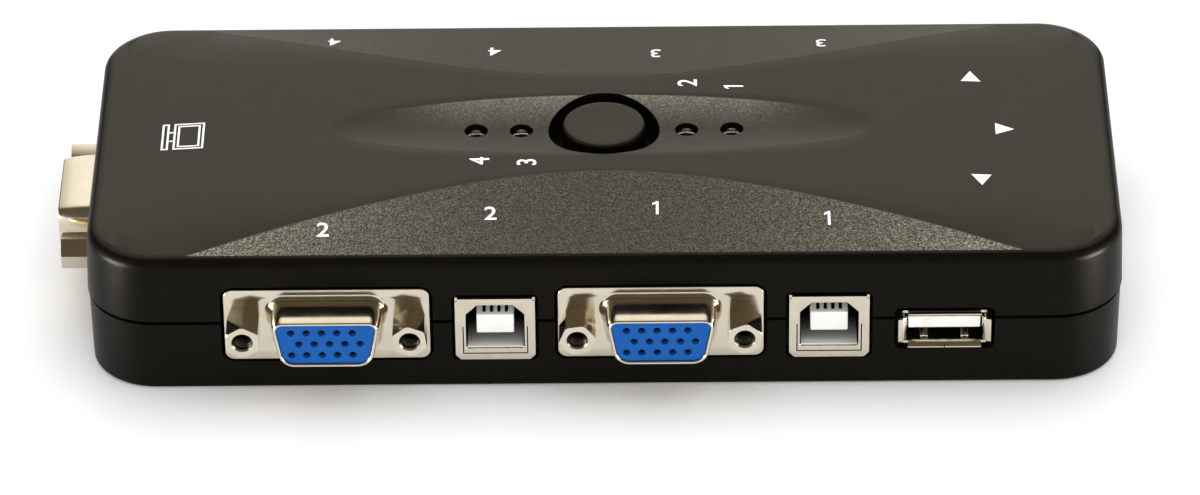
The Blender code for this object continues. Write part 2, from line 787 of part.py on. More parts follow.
def flat_outline(grow):
    """The flat socket's outline, its sides moved out by grow."""
    return rounded(rectangle(FLAT_WIDTH, FLAT_HEIGHT), FLAT_CORNER, grow, SMALL_STEPS)


def flat_shell():
    """Folded tube whose four lips flare out, with the corners between the lips cut away."""
    tube = stack(
        (flat_outline(0.0), -FLAT_DEPTH),
        (flat_outline(0.0), -FLARE_LENGTH),
        (flat_outline(FLARE), 0.0),
    )
    hollow = stack(
        (flat_outline(-CAN_WALL), -FLAT_DEPTH - CUT_OVER),
        (flat_outline(-CAN_WALL), -FLARE_LENGTH),
        (flat_outline(2 * FLARE - CAN_WALL), FLARE_LENGTH),
    )
    notches = []
    for corner in rectangle(FLAT_WIDTH, FLAT_HEIGHT):
        notches.append(block(2 * FLARE_NOTCH, 2 * FLARE_NOTCH, -FLARE_LENGTH, CUT_OVER, corner))
    return cut(tube, hollow, *notches)


def flat_body():
    """Insulator with the contact tongue in front and a heel behind the shell that stands on the board."""
    back = -FLAT_DEPTH - CAN_GAP - FLAT_HEEL
    core = plate([flat_outline(-CAN_WALL - CAN_GAP)], back, FLAT_CORE - FLAT_DEPTH)
    place = (0.0, FLAT_TONGUE_RISE)
    tongue = block(FLAT_TONGUE_WIDTH, FLAT_TONGUE_HEIGHT, -FLAT_DEPTH, -FLAT_TONGUE_SUNK, place)
    seat = BOARD_TOP + SEAT_GAP - CONSOLE_DATA_HEIGHT
    crest = FLAT_HEIGHT / 2
    heel = block(FLAT_WIDTH, crest - seat, back, back + FLAT_HEEL, (0.0, (crest + seat) / 2))
    return joined(core, tongue, heel)


def square_places():
    """Name, side and place along the wall of each square data socket."""
    first = FIRST_VIDEO_X + DATA_STEP
    second = first + VIDEO_STEP
    return [
        ("data_1", "front", second),
        ("data_2", "front", first),
        ("data_3", "rear", -second),
        ("data_4", "rear", -first),
    ]


def flat_places():
    """Name, side and place along the wall of each flat data socket."""
    return [
        ("console_data_front", "front", CONSOLE_DATA_X),
        ("console_data_rear", "rear", -CONSOLE_DATA_X),
        ("console_data_side", "right", 0.0),
    ]


def build_data_sockets():
    """Four square and three flat data sockets, each of a shell and an insulator."""
    shell, body = square_shell(), square_body()
    for name, side, along in square_places():
        spot, turn = on_case(side, along, SQUARE_CENTRE, SQUARE_PROUD)
        part(f"{name}_shell", shell, finishes["nickel"], spot, turn)
        part(f"{name}_body", body, finishes["white"], spot, turn)
    shell, body = flat_shell(), flat_body()
    for name, side, along in flat_places():
        spot, turn = on_case(side, along, CONSOLE_DATA_HEIGHT)
        part(f"{name}_shell", shell, finishes["nickel"], spot, turn)
        part(f"{name}_body", body, finishes["white"], spot, turn)


def socket_openings():
    """Cutters for the holes in the case walls, one for each socket."""
    cutter = {
        "video": rounded(rectangle(FLANGE_WIDTH, FLANGE_HEIGHT), FLANGE_CORNER, OPENING_GAP, SMALL_STEPS),
        "square": square_outline(OPENING_GAP),
        "flat": flat_outline(FLARE + OPENING_GAP),
    }
    places = [("video", side, along, VIDEO_HEIGHT) for _, side, along in video_places()]
    places += [("square", side, along, SQUARE_CENTRE) for _, side, along in square_places()]
    places += [("flat", side, along, CONSOLE_DATA_HEIGHT) for _, side, along in flat_places()]
    openings = []
    for kind, side, along, height in places:
        mesh = plate([cutter[kind]], -OPENING_DEPTH, CUT_OVER)
        spot, turn = on_case(side, along, height)
        item = draft("opening", mesh)
        item.location = spot
        item.rotation_euler = turn
        openings.append(settle(item))
    return openings


# Button, switch and lamps

def build_button():
    """Round cap: hollow, with a catch below the well's floor and a stem that grips the switch's stub."""
    flange_radius = CAP_RADIUS + SEAT_GAP + CAP_CATCH
    skirt_foot = CAP_TRAVEL_STOP - CAP_FLANGE
    inner = CAP_RADIUS - CAP_WALL
    roof = APEX - CAP_WALL
    stem_foot = SHOULDER_TOP + SEAT_GAP
    profile = [(0.0, APEX)]
    profile += reversed(arc((CAP_RADIUS - CAP_EDGE, APEX - CAP_EDGE), CAP_EDGE, 0.0, math.pi / 2))
    profile += [
        (CAP_RADIUS, CAP_TRAVEL_STOP),
        (flange_radius, CAP_TRAVEL_STOP),
        (flange_radius, skirt_foot),
        (inner, skirt_foot),
        (inner, roof),
        (CAP_STEM_RADIUS, roof),
        (CAP_STEM_RADIUS, stem_foot),
        (0.0, stem_foot),
    ]
    side = PLUNGER_STUB + 2 * SEAT_GAP
    socket = block(side, side, stem_foot - CUT_OVER, STUB_TOP + SEAT_GAP)
    part("button_cap", cut(turned(profile, BUTTON_SIDES), socket), finishes["button"])


def build_push_switch():
    """Push switch: base, cover plate, plunger and the snap dome that the plunger presses."""
    square = rounded(rectangle(SWITCH_SIDE, SWITCH_SIDE), SWITCH_CORNER, steps=FLAT_STEPS)
    rim_radius = PLUNGER_RADIUS + PLUNGER_RIM
    pocket = rim_radius + SEAT_GAP
    pocket_floor = SWITCH_TOP - SWITCH_POCKET
    base = plate([square], BOARD_TOP + SEAT_GAP, SWITCH_TOP)
    base = cut(base, rod(pocket, pocket_floor, SWITCH_TOP + CUT_OVER, ROUND_SIDES))
    part("switch_base", base, finishes["chip"])
    hole = circle(PLUNGER_RADIUS + SEAT_GAP, ROUND_SIDES)
    part("switch_plate", plate([square, hole], PLATE_TOP - SWITCH_PLATE, PLATE_TOP), finishes["steel"])
    rim_top = PLATE_TOP - SWITCH_PLATE - SEAT_GAP
    rim_foot = rim_top - PLUNGER_RIM_HEIGHT
    plunger = turned([
        (0.0, SHOULDER_TOP),
        (PLUNGER_RADIUS, SHOULDER_TOP),
        (PLUNGER_RADIUS, rim_top),
        (rim_radius, rim_top),
        (rim_radius, rim_foot),
        (0.0, rim_foot),
    ])
    stub = block(PLUNGER_STUB, PLUNGER_STUB, SHOULDER_TOP - PLUNGER_SHOULDER, STUB_TOP)
    part("switch_plunger", joined(plunger, stub), finishes["white"])
    crest = rim_foot - SEAT_GAP
    foot = pocket_floor + SEAT_GAP
    rise = crest - foot - DOME_THICKNESS
    shares = [step / DOME_STEPS for step in range(DOME_STEPS + 1)]
    shape = [(rim_radius * share, -rise * share ** 2) for share in shares]
    upper = [(radius, crest + drop) for radius, drop in shape]
    lower = [(radius, crest + drop - DOME_THICKNESS) for radius, drop in reversed(shape)]
    part("switch_dome", turned(upper + lower), finishes["steel"])


def lamp_top():
    """Height of the lamps' tips: level with the dish at the outer lamps."""
    return top_height(max(LAMP_PLACES), 0.0)


def build_lamps():
    """Four lamps on long leads from the board."""
    tip = lamp_top()
    foot = tip - LAMP_LENGTH
    shoulder = foot + LAMP_FLANGE_HEIGHT
    profile = list(reversed(arc((0.0, tip - LAMP_RADIUS), LAMP_RADIUS, 0.0, math.pi / 2)))
    profile += [
        (LAMP_RADIUS, shoulder),
        (LAMP_RADIUS + LAMP_FLANGE, shoulder),
        (LAMP_RADIUS + LAMP_FLANGE, foot),
        (0.0, foot),
    ]
    leads = []
    for x in (-LAMP_LEAD_PITCH / 2, LAMP_LEAD_PITCH / 2):
        leads.append(block(LAMP_LEAD, LAMP_LEAD, BOARD_TOP + SEAT_GAP, shoulder, (x, 0.0)))
    lamp = joined(turned(profile, SMALL_SIDES), *leads)
    for number, x in zip((4, 3, 2, 1), LAMP_PLACES):
        part(f"lamp_{number}", lamp, finishes["lens"], (x, 0.0, 0.0))


# Parts on the board

def build_board_parts():
    """Chips, crystal and capacitor on the board."""
    seat = BOARD_TOP + SEAT_GAP
    chips = {
        "control_chip": (CONTROL_CHIP, CONTROL_CHIP_PLACE),
        "video_chip": (SMALL_CHIP, VIDEO_CHIP_PLACE),
        "data_chip": (SMALL_CHIP, DATA_CHIP_PLACE),
    }
    for name, ((length, depth, height), place) in chips.items():
        face = rectangle(length, depth)
        lid = rectangle(length - 2 * CHIP_BEVEL, depth - 2 * CHIP_BEVEL)
        chip = stack((face, seat), (face, seat + height - CHIP_BEVEL), (lid, seat + height))
        part(name, chip, finishes["chip"], (*place, 0.0))
    outline = rounded(rectangle(CRYSTAL_LENGTH, CRYSTAL_DEPTH), CRYSTAL_CORNER)
    can = plate([outline], seat, seat + CRYSTAL_HEIGHT)
    part("crystal", can, finishes["steel"], (*CRYSTAL_PLACE, 0.0))
    neck = seat + CAPACITOR_NECK
    profile = [
        (0.0, seat + CAPACITOR_HEIGHT),
        (CAPACITOR_RADIUS - CAPACITOR_GROOVE, seat + CAPACITOR_HEIGHT),
        (CAPACITOR_RADIUS, seat + CAPACITOR_HEIGHT - CAPACITOR_GROOVE),
        (CAPACITOR_RADIUS, neck + CAPACITOR_GROOVE),
        (CAPACITOR_RADIUS - CAPACITOR_GROOVE, neck),
        (CAPACITOR_RADIUS, neck - CAPACITOR_GROOVE),
        (CAPACITOR_RADIUS, seat),
        (0.0, seat),
    ]
    part("supply_capacitor", turned(profile), finishes["chip"], (*CAPACITOR_PLACE, 0.0))


def main():
    """Builds the switch."""
    openings = socket_openings()
    build_bottom_cover(openings)
    build_top_cover(openings)
    build_board()
    build_case_screws()
    build_video_sockets()
    build_data_sockets()
    build_button()
    build_push_switch()
    build_lamps()
    build_board_parts()


clear_scene()
parts = collection("computer_switch")
cutters = collection("cutters")
root = bpy.data.objects.new("computer_switch_frame", None)
parts.objects.link(root)
finishes = {
    "case": material("black_case_plastic", (0.012, 0.012, 0.013), 0.55),
    "button": material("black_button_plastic", (0.010, 0.010, 0.011), 0.40),
    "nickel": material("nickel_plate", (0.66, 0.60, 0.50), 0.28, 1.0),
    "blue": material("blue_insert_plastic", (0.02, 0.09, 0.42), 0.45),
    "white": material("white_insulator", (0.80, 0.79, 0.75), 0.50),
    "board": material("green_board", (0.02, 0.16, 0.07), 0.50),
    "chip": material("black_chip", (0.02, 0.02, 0.02), 0.60),
    "steel": material("bright_steel", (0.58, 0.58, 0.58), 0.30, 1.0),
    "lens": material("clear_lens", (0.75, 0.78, 0.80), 0.15),
}
main()
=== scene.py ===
"""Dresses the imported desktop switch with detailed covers, sockets, button, lamps and marks, and a stage."""

import math

import bmesh
import bpy
from bpy.props import FloatProperty, FloatVectorProperty, IntProperty, PointerProperty
from mathutils import Matrix, Vector


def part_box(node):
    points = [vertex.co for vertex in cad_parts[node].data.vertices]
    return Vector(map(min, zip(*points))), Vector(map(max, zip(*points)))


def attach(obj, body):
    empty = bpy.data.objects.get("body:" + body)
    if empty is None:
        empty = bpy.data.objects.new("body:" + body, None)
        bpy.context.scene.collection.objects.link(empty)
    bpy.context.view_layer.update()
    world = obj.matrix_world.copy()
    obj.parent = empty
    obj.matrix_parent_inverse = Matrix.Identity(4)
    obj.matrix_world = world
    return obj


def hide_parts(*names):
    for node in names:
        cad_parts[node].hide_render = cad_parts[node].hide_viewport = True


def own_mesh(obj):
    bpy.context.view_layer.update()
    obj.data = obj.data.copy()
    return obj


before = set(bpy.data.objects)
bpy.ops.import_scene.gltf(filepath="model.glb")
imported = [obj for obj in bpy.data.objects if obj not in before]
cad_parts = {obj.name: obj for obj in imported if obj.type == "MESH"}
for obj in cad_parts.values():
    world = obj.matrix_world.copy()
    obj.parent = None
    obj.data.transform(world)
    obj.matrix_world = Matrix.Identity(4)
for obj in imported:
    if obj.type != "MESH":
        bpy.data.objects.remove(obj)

bl_info = {
    "name": "Computer Switch Dressing",
    "version": (1, 0, 0),
    "blender": (4, 5, 0),
    "location": "3D View > Sidebar > Switch",
    "description": "Builds the visible pieces of a desktop computer switch over its packed model",
    "category": "Object",
}

SMOOTH_ANGLE = math.radians(30)
# Cutters run past what they cut, and points closer than the weld become one.
CUT_OVER = 0.002
WELD = 1e-7

# Sides of round pieces, from the button's well down to the sleeves of the pins.
WELL_SIDES, JACK_SIDES, SCREW_SIDES, LAMP_SIDES = 96, 64, 48, 40
HOLE_SIDES, THREAD_SIDES, PIN_SIDES, SLEEVE_SIDES = 32, 24, 16, 12
# Steps round the corners of the sockets' sheet metal, and round their finest corners.
SHEET_STEPS, FINE_STEPS = 4, 2

VIDEO_SOCKETS = ("video_1", "video_2", "video_3", "video_4", "console_video")
SQUARE_SOCKETS = ("data_1", "data_2", "data_3", "data_4")
FLAT_SOCKETS = ("console_data_front", "console_data_rear", "console_data_side")
LAMPS = ("lamp_1", "lamp_2", "lamp_3", "lamp_4")
CASE_SCREWS = ("case_screw_1", "case_screw_2", "case_screw_3", "case_screw_4")


# Settings

def length(name, description, default):
    """A length in metres."""
    return FloatProperty(name=name, description=description, default=default, unit="LENGTH", precision=5)


def colour(name, description, default):
    """A linear colour."""
    return FloatVectorProperty(name=name, description=description, default=default, subtype="COLOR", size=3)


def angle(name, description, degrees):
    """An angle, given in degrees."""
    return FloatProperty(name=name, description=description, default=math.radians(degrees), subtype="ANGLE")


class SwitchCase(bpy.types.PropertyGroup):
    """Sizes of the two covers, the button and the lamps."""

    corner_radius: length("Corner radius", "Radius of the case's corners in plan", 0.0105)
    edge_height: length("Edge height", "Height of the top at its long edges", 0.0232)
    parting_height: length("Parting height", "Height of the groove between the covers", 0.0120)
    parting_gap: length("Parting gap", "Width of the groove between the covers", 0.0007)
    wall: length("Wall", "Thickness of the covers' walls", 0.0018)
    top_lean: length("Top lean", "How far the top cover's wall leans in", 0.00025)
    edge_fillet: length("Edge fillet", "Radius along the upper edge", 0.0019)
    base_lean: length("Base lean", "How far the bottom cover's wall leans in", 0.0002)
    base_fillet: length("Base fillet", "Radius along the lower edge", 0.0006)
    rim_step: length("Rim step", "How far the bottom cover's rim stands back", 0.0002)
    floor: length("Floor", "Thickness of the bottom cover's floor", 0.0020)
    lip_height: length("Lip height", "Height of the lip above the parting line", 0.0014)
    lip_inset: length("Lip inset", "Distance of the lip from the case's outline", 0.0021)
    lip_wall: length("Lip wall", "Thickness of the lip", 0.0010)
    eye_half_length: length("Eye half length", "Half length of the dished eye", 0.0415)
    eye_half_depth: length("Eye half depth", "Half depth of the dished eye", 0.0082)
    eye_dish: length("Eye dish", "Depth of the dished eye", 0.00135)
    waist_half_depth: length("Waist half depth", "Half depth of the smooth waist at its middle", 0.0129)
    waist_spread: FloatProperty(name="Waist spread", description="How fast the waist widens", default=0.455)
    waist_fullness: IntProperty(name="Waist fullness", description="Flatness of the waist across", default=8)
    well_radius: length("Well radius", "Radius of the button's well", 0.0085)
    well_wall: length("Well wall", "Thickness of the well's wall", 0.0015)
    well_depth: length("Well depth", "Depth of the button's well", 0.0046)
    well_floor: length("Well floor", "Thickness of the well's floor", 0.0014)
    cap_radius: length("Cap radius", "Radius of the button", 0.0063)
    cap_edge: length("Cap edge", "Radius along the button's upper edge", 0.0005)
    cap_skirt: length("Cap skirt", "Height of the button that is modelled", 0.0062)
    lamp_radius: length("Lamp radius", "Radius of the lamps", 0.0015)
    hole_gap: length("Hole gap", "Gap between a lamp, the button or a screw and its hole", 0.0003)


class SwitchSockets(bpy.types.PropertyGroup):
    """Sizes of the sockets."""

    opening_gap: length("Opening gap", "Gap between a socket and its hole in the case", 0.0005)
    opening_depth: length("Opening depth", "Depth of the holes in the case's walls", 0.0070)
    flange_thickness: length("Flange thickness", "Thickness of a video socket's flange", 0.0008)
    flange_corner: length("Flange corner", "Corner radius of a video socket's flange", 0.0014)
    shroud_width: length("Shroud width", "Width of the shroud", 0.0163)
    shroud_height: length("Shroud height", "Height of the shroud", 0.0079)
    shroud_reach: length("Shroud reach", "How far the shroud stands out of the flange", 0.0056)
    shroud_wall: length("Shroud wall", "Thickness of the shroud's sheet", 0.0005)
    shroud_corner: length("Shroud corner", "Radius of the shroud's upper corners", 0.0015)
    shroud_foot: length("Shroud foot", "Radius of the shroud's lower corners", 0.0025)
    shroud_flare: length("Shroud flare", "Radius at the shroud's root", 0.0008)
    shroud_taper: length("Shroud taper", "How far the shroud narrows from its root to its rim", 0.0006)
    shroud_slant: angle("Shroud slant", "Slant of the shroud's ends", 10)
    insert_gap: length("Insert gap", "Gap between the insert and the shroud", 0.00005)
    insert_sunk: length("Insert sunk", "How far the insert lies inside the rim", 0.0003)
    pin_pitch: length("Pin pitch", "Distance between pin holes in a row", 0.00229)
    pin_row_pitch: length("Pin row pitch", "Distance between rows of pin holes", 0.00198)
    pin_radius: length("Pin radius", "Radius of a pin hole", 0.00056)
    pin_depth: length("Pin depth", "Depth of a pin hole", 0.0036)
    jack_spacing: length("Jack spacing", "Distance between the jack screws", 0.0250)
    jack_flats: length("Jack flats", "Width across the flats of a jack screw", 0.0048)
    jack_reach: length("Jack reach", "How far a jack screw stands out of the flange", 0.0048)
    jack_bore: length("Jack bore", "Radius of a jack screw's threaded bore", 0.0014)
    jack_pitch: length("Jack pitch", "Pitch of the thread", 0.0006)
    can_wall: length("Can wall", "Thickness of a data socket's sheet", 0.0004)
    can_depth: length("Can depth", "Depth of a square socket's can that is modelled", 0.0060)
    can_chamfer: length("Can chamfer", "Cut-off lower corners of a square socket's can", 0.0008)
    lip_band: length("Lip band", "Width of the inner lip beside a square socket's mouth", 0.0005)
    lip_slit: length("Lip slit", "Width of the slit round the inner lip", 0.00016)
    soft_edge: length("Soft edge", "Radius along the edges of sheet metal and mouldings", 0.00006)
    mouth_width: length("Mouth width", "Width of a square socket's mouth", 0.0088)
    mouth_height: length("Mouth height", "Height of a square socket's mouth", 0.0078)
    mouth_chamfer: length("Mouth chamfer", "Cut-off corners of a square socket's mouth", 0.0017)
    mouth_rise: length("Mouth rise", "Height of the mouth above the can's middle", 0.0005)
    mouth_depth: length("Mouth depth", "Depth of a square socket's mouth", 0.0095)
    square_tongue_width: length("Square tongue width", "Width of the tongue in a square socket", 0.0056)
    square_tongue_height: length("Square tongue height", "Height of the tongue in a square socket", 0.0033)
    flare: length("Flare", "How far a flat socket's upper and lower lips flare out", 0.00060)
    side_flare: length("Side flare", "How far a flat socket's side lips flare out", 0.00100)
    flare_length: length("Flare length", "Depth of the lips", 0.0008)
    flare_notch: length("Flare notch", "Cut-away corners between the lips", 0.0009)
    flat_depth: length("Flat depth", "Depth of a flat socket that is modelled", 0.0110)
    flat_drop: length("Flat drop", "How far a flat socket's underside hangs below its CAD shell", 0.00045)
    tab_width: length("Tab width", "Width of a flat socket's sprung tabs", 0.0012)
    tab_length: length("Tab length", "Length of the sprung tabs", 0.0032)
    tab_rise: length("Tab rise", "Height of the sprung tabs above the tube's underside", 0.0009)
    tab_height: length("Tab height", "Height of a sprung tab's bent end", 0.0009)
    tab_rim: length("Tab rim", "Width of the rim round a bent end's window", 0.00022)
    tab_spacing: length("Tab spacing", "Distance between the sprung tabs", 0.0061)
    tab_lean: angle("Tab lean", "Lean of the sprung tabs", 8)
    flat_tongue_width: length("Flat tongue width", "Width of the tongue in a flat socket", 0.0108)
    flat_tongue_height: length("Flat tongue height", "Height of the tongue in a flat socket", 0.0025)
    flat_tongue_rise: length("Flat tongue rise", "Height of the tongue above the middle", 0.00084)


class SwitchFinish(bpy.types.PropertyGroup):
    """Colours of the finishes."""

    waist: colour("Waist", "Smooth black plastic on top", (0.0060, 0.0055, 0.0046))
    panel: colour("Panel", "Etched black plastic on top", (0.0275, 0.0255, 0.0202))
    # The walls' colour is darker than the waist's: painted shade.
    wall: colour("Wall", "Black plastic of the walls", (0.0030, 0.0026, 0.0020))
    nickel: colour("Nickel", "Plated sheet metal", (0.80, 0.73, 0.59))
    brass: colour("Brass", "Contacts", (0.72, 0.50, 0.22))
    blue: colour("Blue", "Inserts of the video sockets", (0.004, 0.090, 0.36))
    white: colour("White", "Insulators of the data sockets", (0.88, 0.88, 0.85))
    ink: colour("Ink", "Printed marks", (0.86, 0.86, 0.84))
    board: colour("Board", "Circuit board", (0.012, 0.10, 0.040))
    floor: colour("Floor", "Floor under the switch", (0.85, 0.85, 0.85))


# Mesh helpers

def link(name, data):
    """A new object in the scene."""
    item = bpy.data.objects.new(name, data)
    bpy.context.scene.collection.objects.link(item)
    return item


def mesh_of(shell, name):
    """A mesh from a bmesh, which is freed."""
    mesh = bpy.data.meshes.new(name)
    shell.to_mesh(mesh)
    shell.free()
    return mesh


def settled(item, drop=()):
    """An object's mesh after its modifiers, welded and facing out. The object and its tools are removed."""
    bpy.context.view_layer.update()
    evaluated = item.evaluated_get(bpy.context.evaluated_depsgraph_get())
    mesh = bpy.data.meshes.new_from_object(evaluated)
    for used in (item, *drop):
        bpy.data.objects.remove(used, do_unlink=True)
    shell = bmesh.new()
    shell.from_mesh(mesh)
    bmesh.ops.remove_doubles(shell, verts=shell.verts, dist=WELD)
    bmesh.ops.recalc_face_normals(shell, faces=shell.faces)
    shell.to_mesh(mesh)
    shell.free()
    return mesh


def combined(mesh, tools, operation):
    """A mesh with each tool joined to it, cut from it or kept in common with it."""
    item = link("base", mesh)
    used = []
    for tool in tools:
        used.append(link("tool", tool))
        modifier = item.modifiers.new(operation.lower(), "BOOLEAN")
        modifier.operation = operation
        modifier.solver = "EXACT"
        modifier.object = used[-1]
    return settled(item, used)


def merged(*meshes):
    """One mesh that holds several, each with its own material slot numbers."""
    shell = bmesh.new()
    for mesh in meshes:
        shell.from_mesh(mesh)
    return mesh_of(shell, "merged")


def moved(mesh, matrix):
    """A copy of a mesh in another place."""
    copy = mesh.copy()
    copy.transform(matrix)
    return copy


def painted(mesh, index):
    """The mesh with all its faces in one material slot."""
    for face in mesh.polygons:
        face.material_index = index
    return mesh


def bevelled(mesh, width, segments=2):
    """The mesh with its sharp edges rounded."""
    item = link("bevelled", mesh)
    modifier = item.modifiers.new("bevel", "BEVEL")
    modifier.width = width
    modifier.segments = segments
    modifier.limit_method = "ANGLE"
    modifier.angle_limit = SMOOTH_ANGLE
    return settled(item)


def piece(name, mesh, materials, body, slot, *nodes):
    """A finished piece at the origin, on a body, with its finish, in place of CAD nodes."""
    slots = [face.material_index for face in mesh.polygons]
    mesh.materials.clear()
    for material in materials:
        mesh.materials.append(material)
    mesh.polygons.foreach_set("material_index", slots)
    mesh.shade_smooth()
    mesh.set_sharp_from_angle(angle=SMOOTH_ANGLE)
    item = link(name, mesh)
    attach(item, body)
    if nodes:
        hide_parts(*nodes)
    return item


# Outlines are lists of (x, y), anticlockwise.

def rectangle(width, height, centre=(0.0, 0.0)):
    """Corners of a rectangle."""
    x, y = centre
    half_width, half_height = width / 2, height / 2
    return [
        (x - half_width, y - half_height),
        (x + half_width, y - half_height),
        (x + half_width, y + half_height),
        (x - half_width, y + half_height),
    ]


def rounded(corners, radius, grow=0.0, steps=6):
    """A convex outline with round corners of one radius or one each, its sides moved out by grow."""
    points = []
    radii = [radius] * len(corners) if isinstance(radius, float) else radius
    for index, corner in enumerate(corners):
        bend = max(radii[index] + grow, WELD)
        corner = Vector(corner)
        back = (Vector(corners[index - 1]) - corner).normalized()
        ahead = (Vector(corners[(index + 1) % len(corners)]) - corner).normalized()
        half = back.angle(ahead) / 2
        centre = corner + (back + ahead).normalized() * ((bend - grow) / math.sin(half))
        first = math.atan2(back.x, -back.y)
        for step in range(steps + 1):
            turn = first + (math.pi - 2 * half) * step / steps
            points.append((centre.x + bend * math.cos(turn), centre.y + bend * math.sin(turn)))
    return points


def circle(radius, sides, centre=(0.0, 0.0)):
    """A round outline."""
    turns = [2 * math.pi * side / sides for side in range(sides)]
    return [(centre[0] + radius * math.cos(t), centre[1] + radius * math.sin(t)) for t in turns]


def shares(steps):
    """Even shares from 0 to 1."""
    return [step / steps for step in range(steps + 1)]


def quarter_steps(steps):
    """Sine and one minus cosine along a quarter turn."""
    turns = [math.pi / 2 * step / steps for step in range(steps + 1)]
    return [(math.sin(turn), 1 - math.cos(turn)) for turn in turns]


# Solids stand along Z.

def loft(rings, closed=False):
    """A skin through outlines of like count, each given with its height. It ends in caps, or in itself."""
    shell = bmesh.new()
    loops = [[shell.verts.new((x, y, height)) for x, y in outline] for outline, height in rings]
    pairs = list(zip(loops, loops[1:]))
    if closed:
        pairs.append((loops[-1], loops[0]))
    for low, high in pairs:
        for index in range(len(low)):
            after = (index + 1) % len(low)
            shell.faces.new((low[index], low[after], high[after], high[index]))
    if not closed:
        shell.faces.new(list(reversed(loops[0])))
        shell.faces.new(loops[-1])
    bmesh.ops.recalc_face_normals(shell, faces=shell.faces)
    return mesh_of(shell, "loft")


def outline_curve(outlines, fill):
    """A flat curve, filled between the first outline and the others as its holes."""
    curve = bpy.data.curves.new("outlines", "CURVE")
    curve.dimensions = "2D"
    curve.fill_mode = fill
    for outline in outlines:
        spline = curve.splines.new("POLY")
        spline.points.add(len(outline) - 1)
        spline.use_cyclic_u = True
        for point, (x, y) in zip(spline.points, outline):
            point.co = (x, y, 0, 1)
    return curve


def plate(outlines, low, high, bevel=0.0):
    """A flat solid: the first outline with the others as holes, and its edges rounded by bevel."""
    curve = outline_curve(outlines, "BOTH")
    curve.extrude = (high - low) / 2 - bevel
    curve.bevel_depth = bevel
    curve.bevel_resolution = 2
    curve.offset = -bevel
    mesh = settled(link("plate", curve))
    mesh.transform(Matrix.Translation((0, 0, (low + high) / 2)))
    return mesh


def rod(radius, low, high, sides, centre=(0.0, 0.0)):
    """A round bar."""
    bar = bmesh.new()
    place = Matrix.Translation((*centre, (low + high) / 2))
    bmesh.ops.create_cone(
        bar, cap_ends=True, segments=sides, radius1=radius, radius2=radius, depth=high - low, matrix=place
    )
    return mesh_of(bar, "rod")


def block(width, height, low, high, centre=(0.0, 0.0)):
    """A square-edged bar."""
    bar = bmesh.new()
    place = Matrix.Translation((*centre, (low + high) / 2))
    bmesh.ops.create_cube(bar, size=1.0, matrix=place @ Matrix.Diagonal((width, height, high - low, 1)))
    return mesh_of(bar, "block")


def turned(profile, sides, pitch=0.0, turns=1):
    """A profile of (radius, height) turned about Z, or run along a helix where a pitch is given."""
    mesh = bpy.data.meshes.new("profile")
    points = [(radius, 0.0, height) for radius, height in profile]
    mesh.from_pydata(points, [(index, index + 1) for index in range(len(points) - 1)], [])
    item = link("turned", mesh)
    screw = item.modifiers.new("turn", "SCREW")
    screw.steps = sides
    screw.render_steps = sides
    screw.screw_offset = pitch
    screw.iterations = turns
    screw.use_merge_vertices = pitch == 0.0
    screw.merge_threshold = WELD
    return settled(item)


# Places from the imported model

def plan_centre(node):
    """Middle of a CAD node's box, seen from above."""
    low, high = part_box(node)
    return (low.x + high.x) / 2, (low.y + high.y) / 2


def face_size(node):
    """Width and height of a CAD node that faces the front."""
    low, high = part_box(node)
    return high.x - low.x, high.z - low.z


def socket_place(node, reach=0.0):
    """Matrix of a socket: X along its wall, Y up and Z out of the wall, reach behind its foremost point."""
    low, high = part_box(node)
    case_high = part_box("top_cover")[1]
    spot = (low + high) / 2
    if abs(spot.y) / case_high.y > abs(spot.x) / case_high.x:
        out = Vector((0, math.copysign(1, spot.y), 0))
    else:
        out = Vector((math.copysign(1, spot.x), 0, 0))
    up = Vector((0, 0, 1))
    foremost = max(low.dot(out), high.dot(out)) - reach
    spot += out * (foremost - spot.dot(out))
    matrix = Matrix((up.cross(out), up, out)).transposed().to_4x4()
    matrix.translation = spot
    return matrix


# Node helpers

class Nodes:
    """Adds nodes to a tree, with values or links on their inputs."""

    def __init__(self, tree):
        self.tree = tree

    def fill(self, node, inputs):
        """The node, with values or links on its inputs by name or number."""
        for key, value in inputs.items():
            if isinstance(value, bpy.types.NodeSocket):
                self.tree.links.new(value, node.inputs[key])
            else:
                node.inputs[key].default_value = value
        return node

    def add(self, kind, inputs=None, **settings):
        """A node of a kind, with its settings and inputs."""
        node = self.tree.nodes.new(kind)
        for name, value in settings.items():
            setattr(node, name, value)
        return self.fill(node, inputs or {})

    def math(self, operation, *values):
        """The output of a math node."""
        return self.add("ShaderNodeMath", dict(enumerate(values)), operation=operation).outputs[0]

    def mix(self, factor, first, second):
        """The output of a colour mix."""
        node = self.add("ShaderNodeMix", {0: factor, 6: first, 7: second}, data_type="RGBA")
        return node.outputs[2]

    def scaled(self, vector, factor):
        """A vector or colour times a factor."""
        return self.add("ShaderNodeVectorMath", {0: vector, 3: factor}, operation="SCALE").outputs[0]

    def spread(self, value, low, high):
        """A value from 0 to 1 mapped to a range."""
        return self.add("ShaderNodeMapRange", {0: value, 3: low, 4: high}).outputs[0]

    def ramp(self, value, start, end):
        """A value mapped to 0 at start and 1 at end."""
        return self.add("ShaderNodeMapRange", {0: value, 1: start, 2: end}).outputs[0]

    def place(self):
        """Object coordinates."""
        return self.add("ShaderNodeTexCoord").outputs["Object"]

    def noise(self, vector, scale, detail):
        """A noise texture's outputs: its value and its colour."""
        return self.add("ShaderNodeTexNoise", {"Vector": vector, "Scale": scale, "Detail": detail}).outputs

    def shared(self, tree, **values):
        """Outputs of a shared group, its inputs given by their names."""
        inputs = {name.title(): value for name, value in values.items()}
        return self.add("ShaderNodeGroup", inputs, node_tree=tree).outputs


def new_material(name):
    """A new material: its node adder and its Principled shader."""
    material = bpy.data.materials.new(name)
    material.use_nodes = True
    return Nodes(material.node_tree), material.node_tree.nodes["Principled BSDF"]


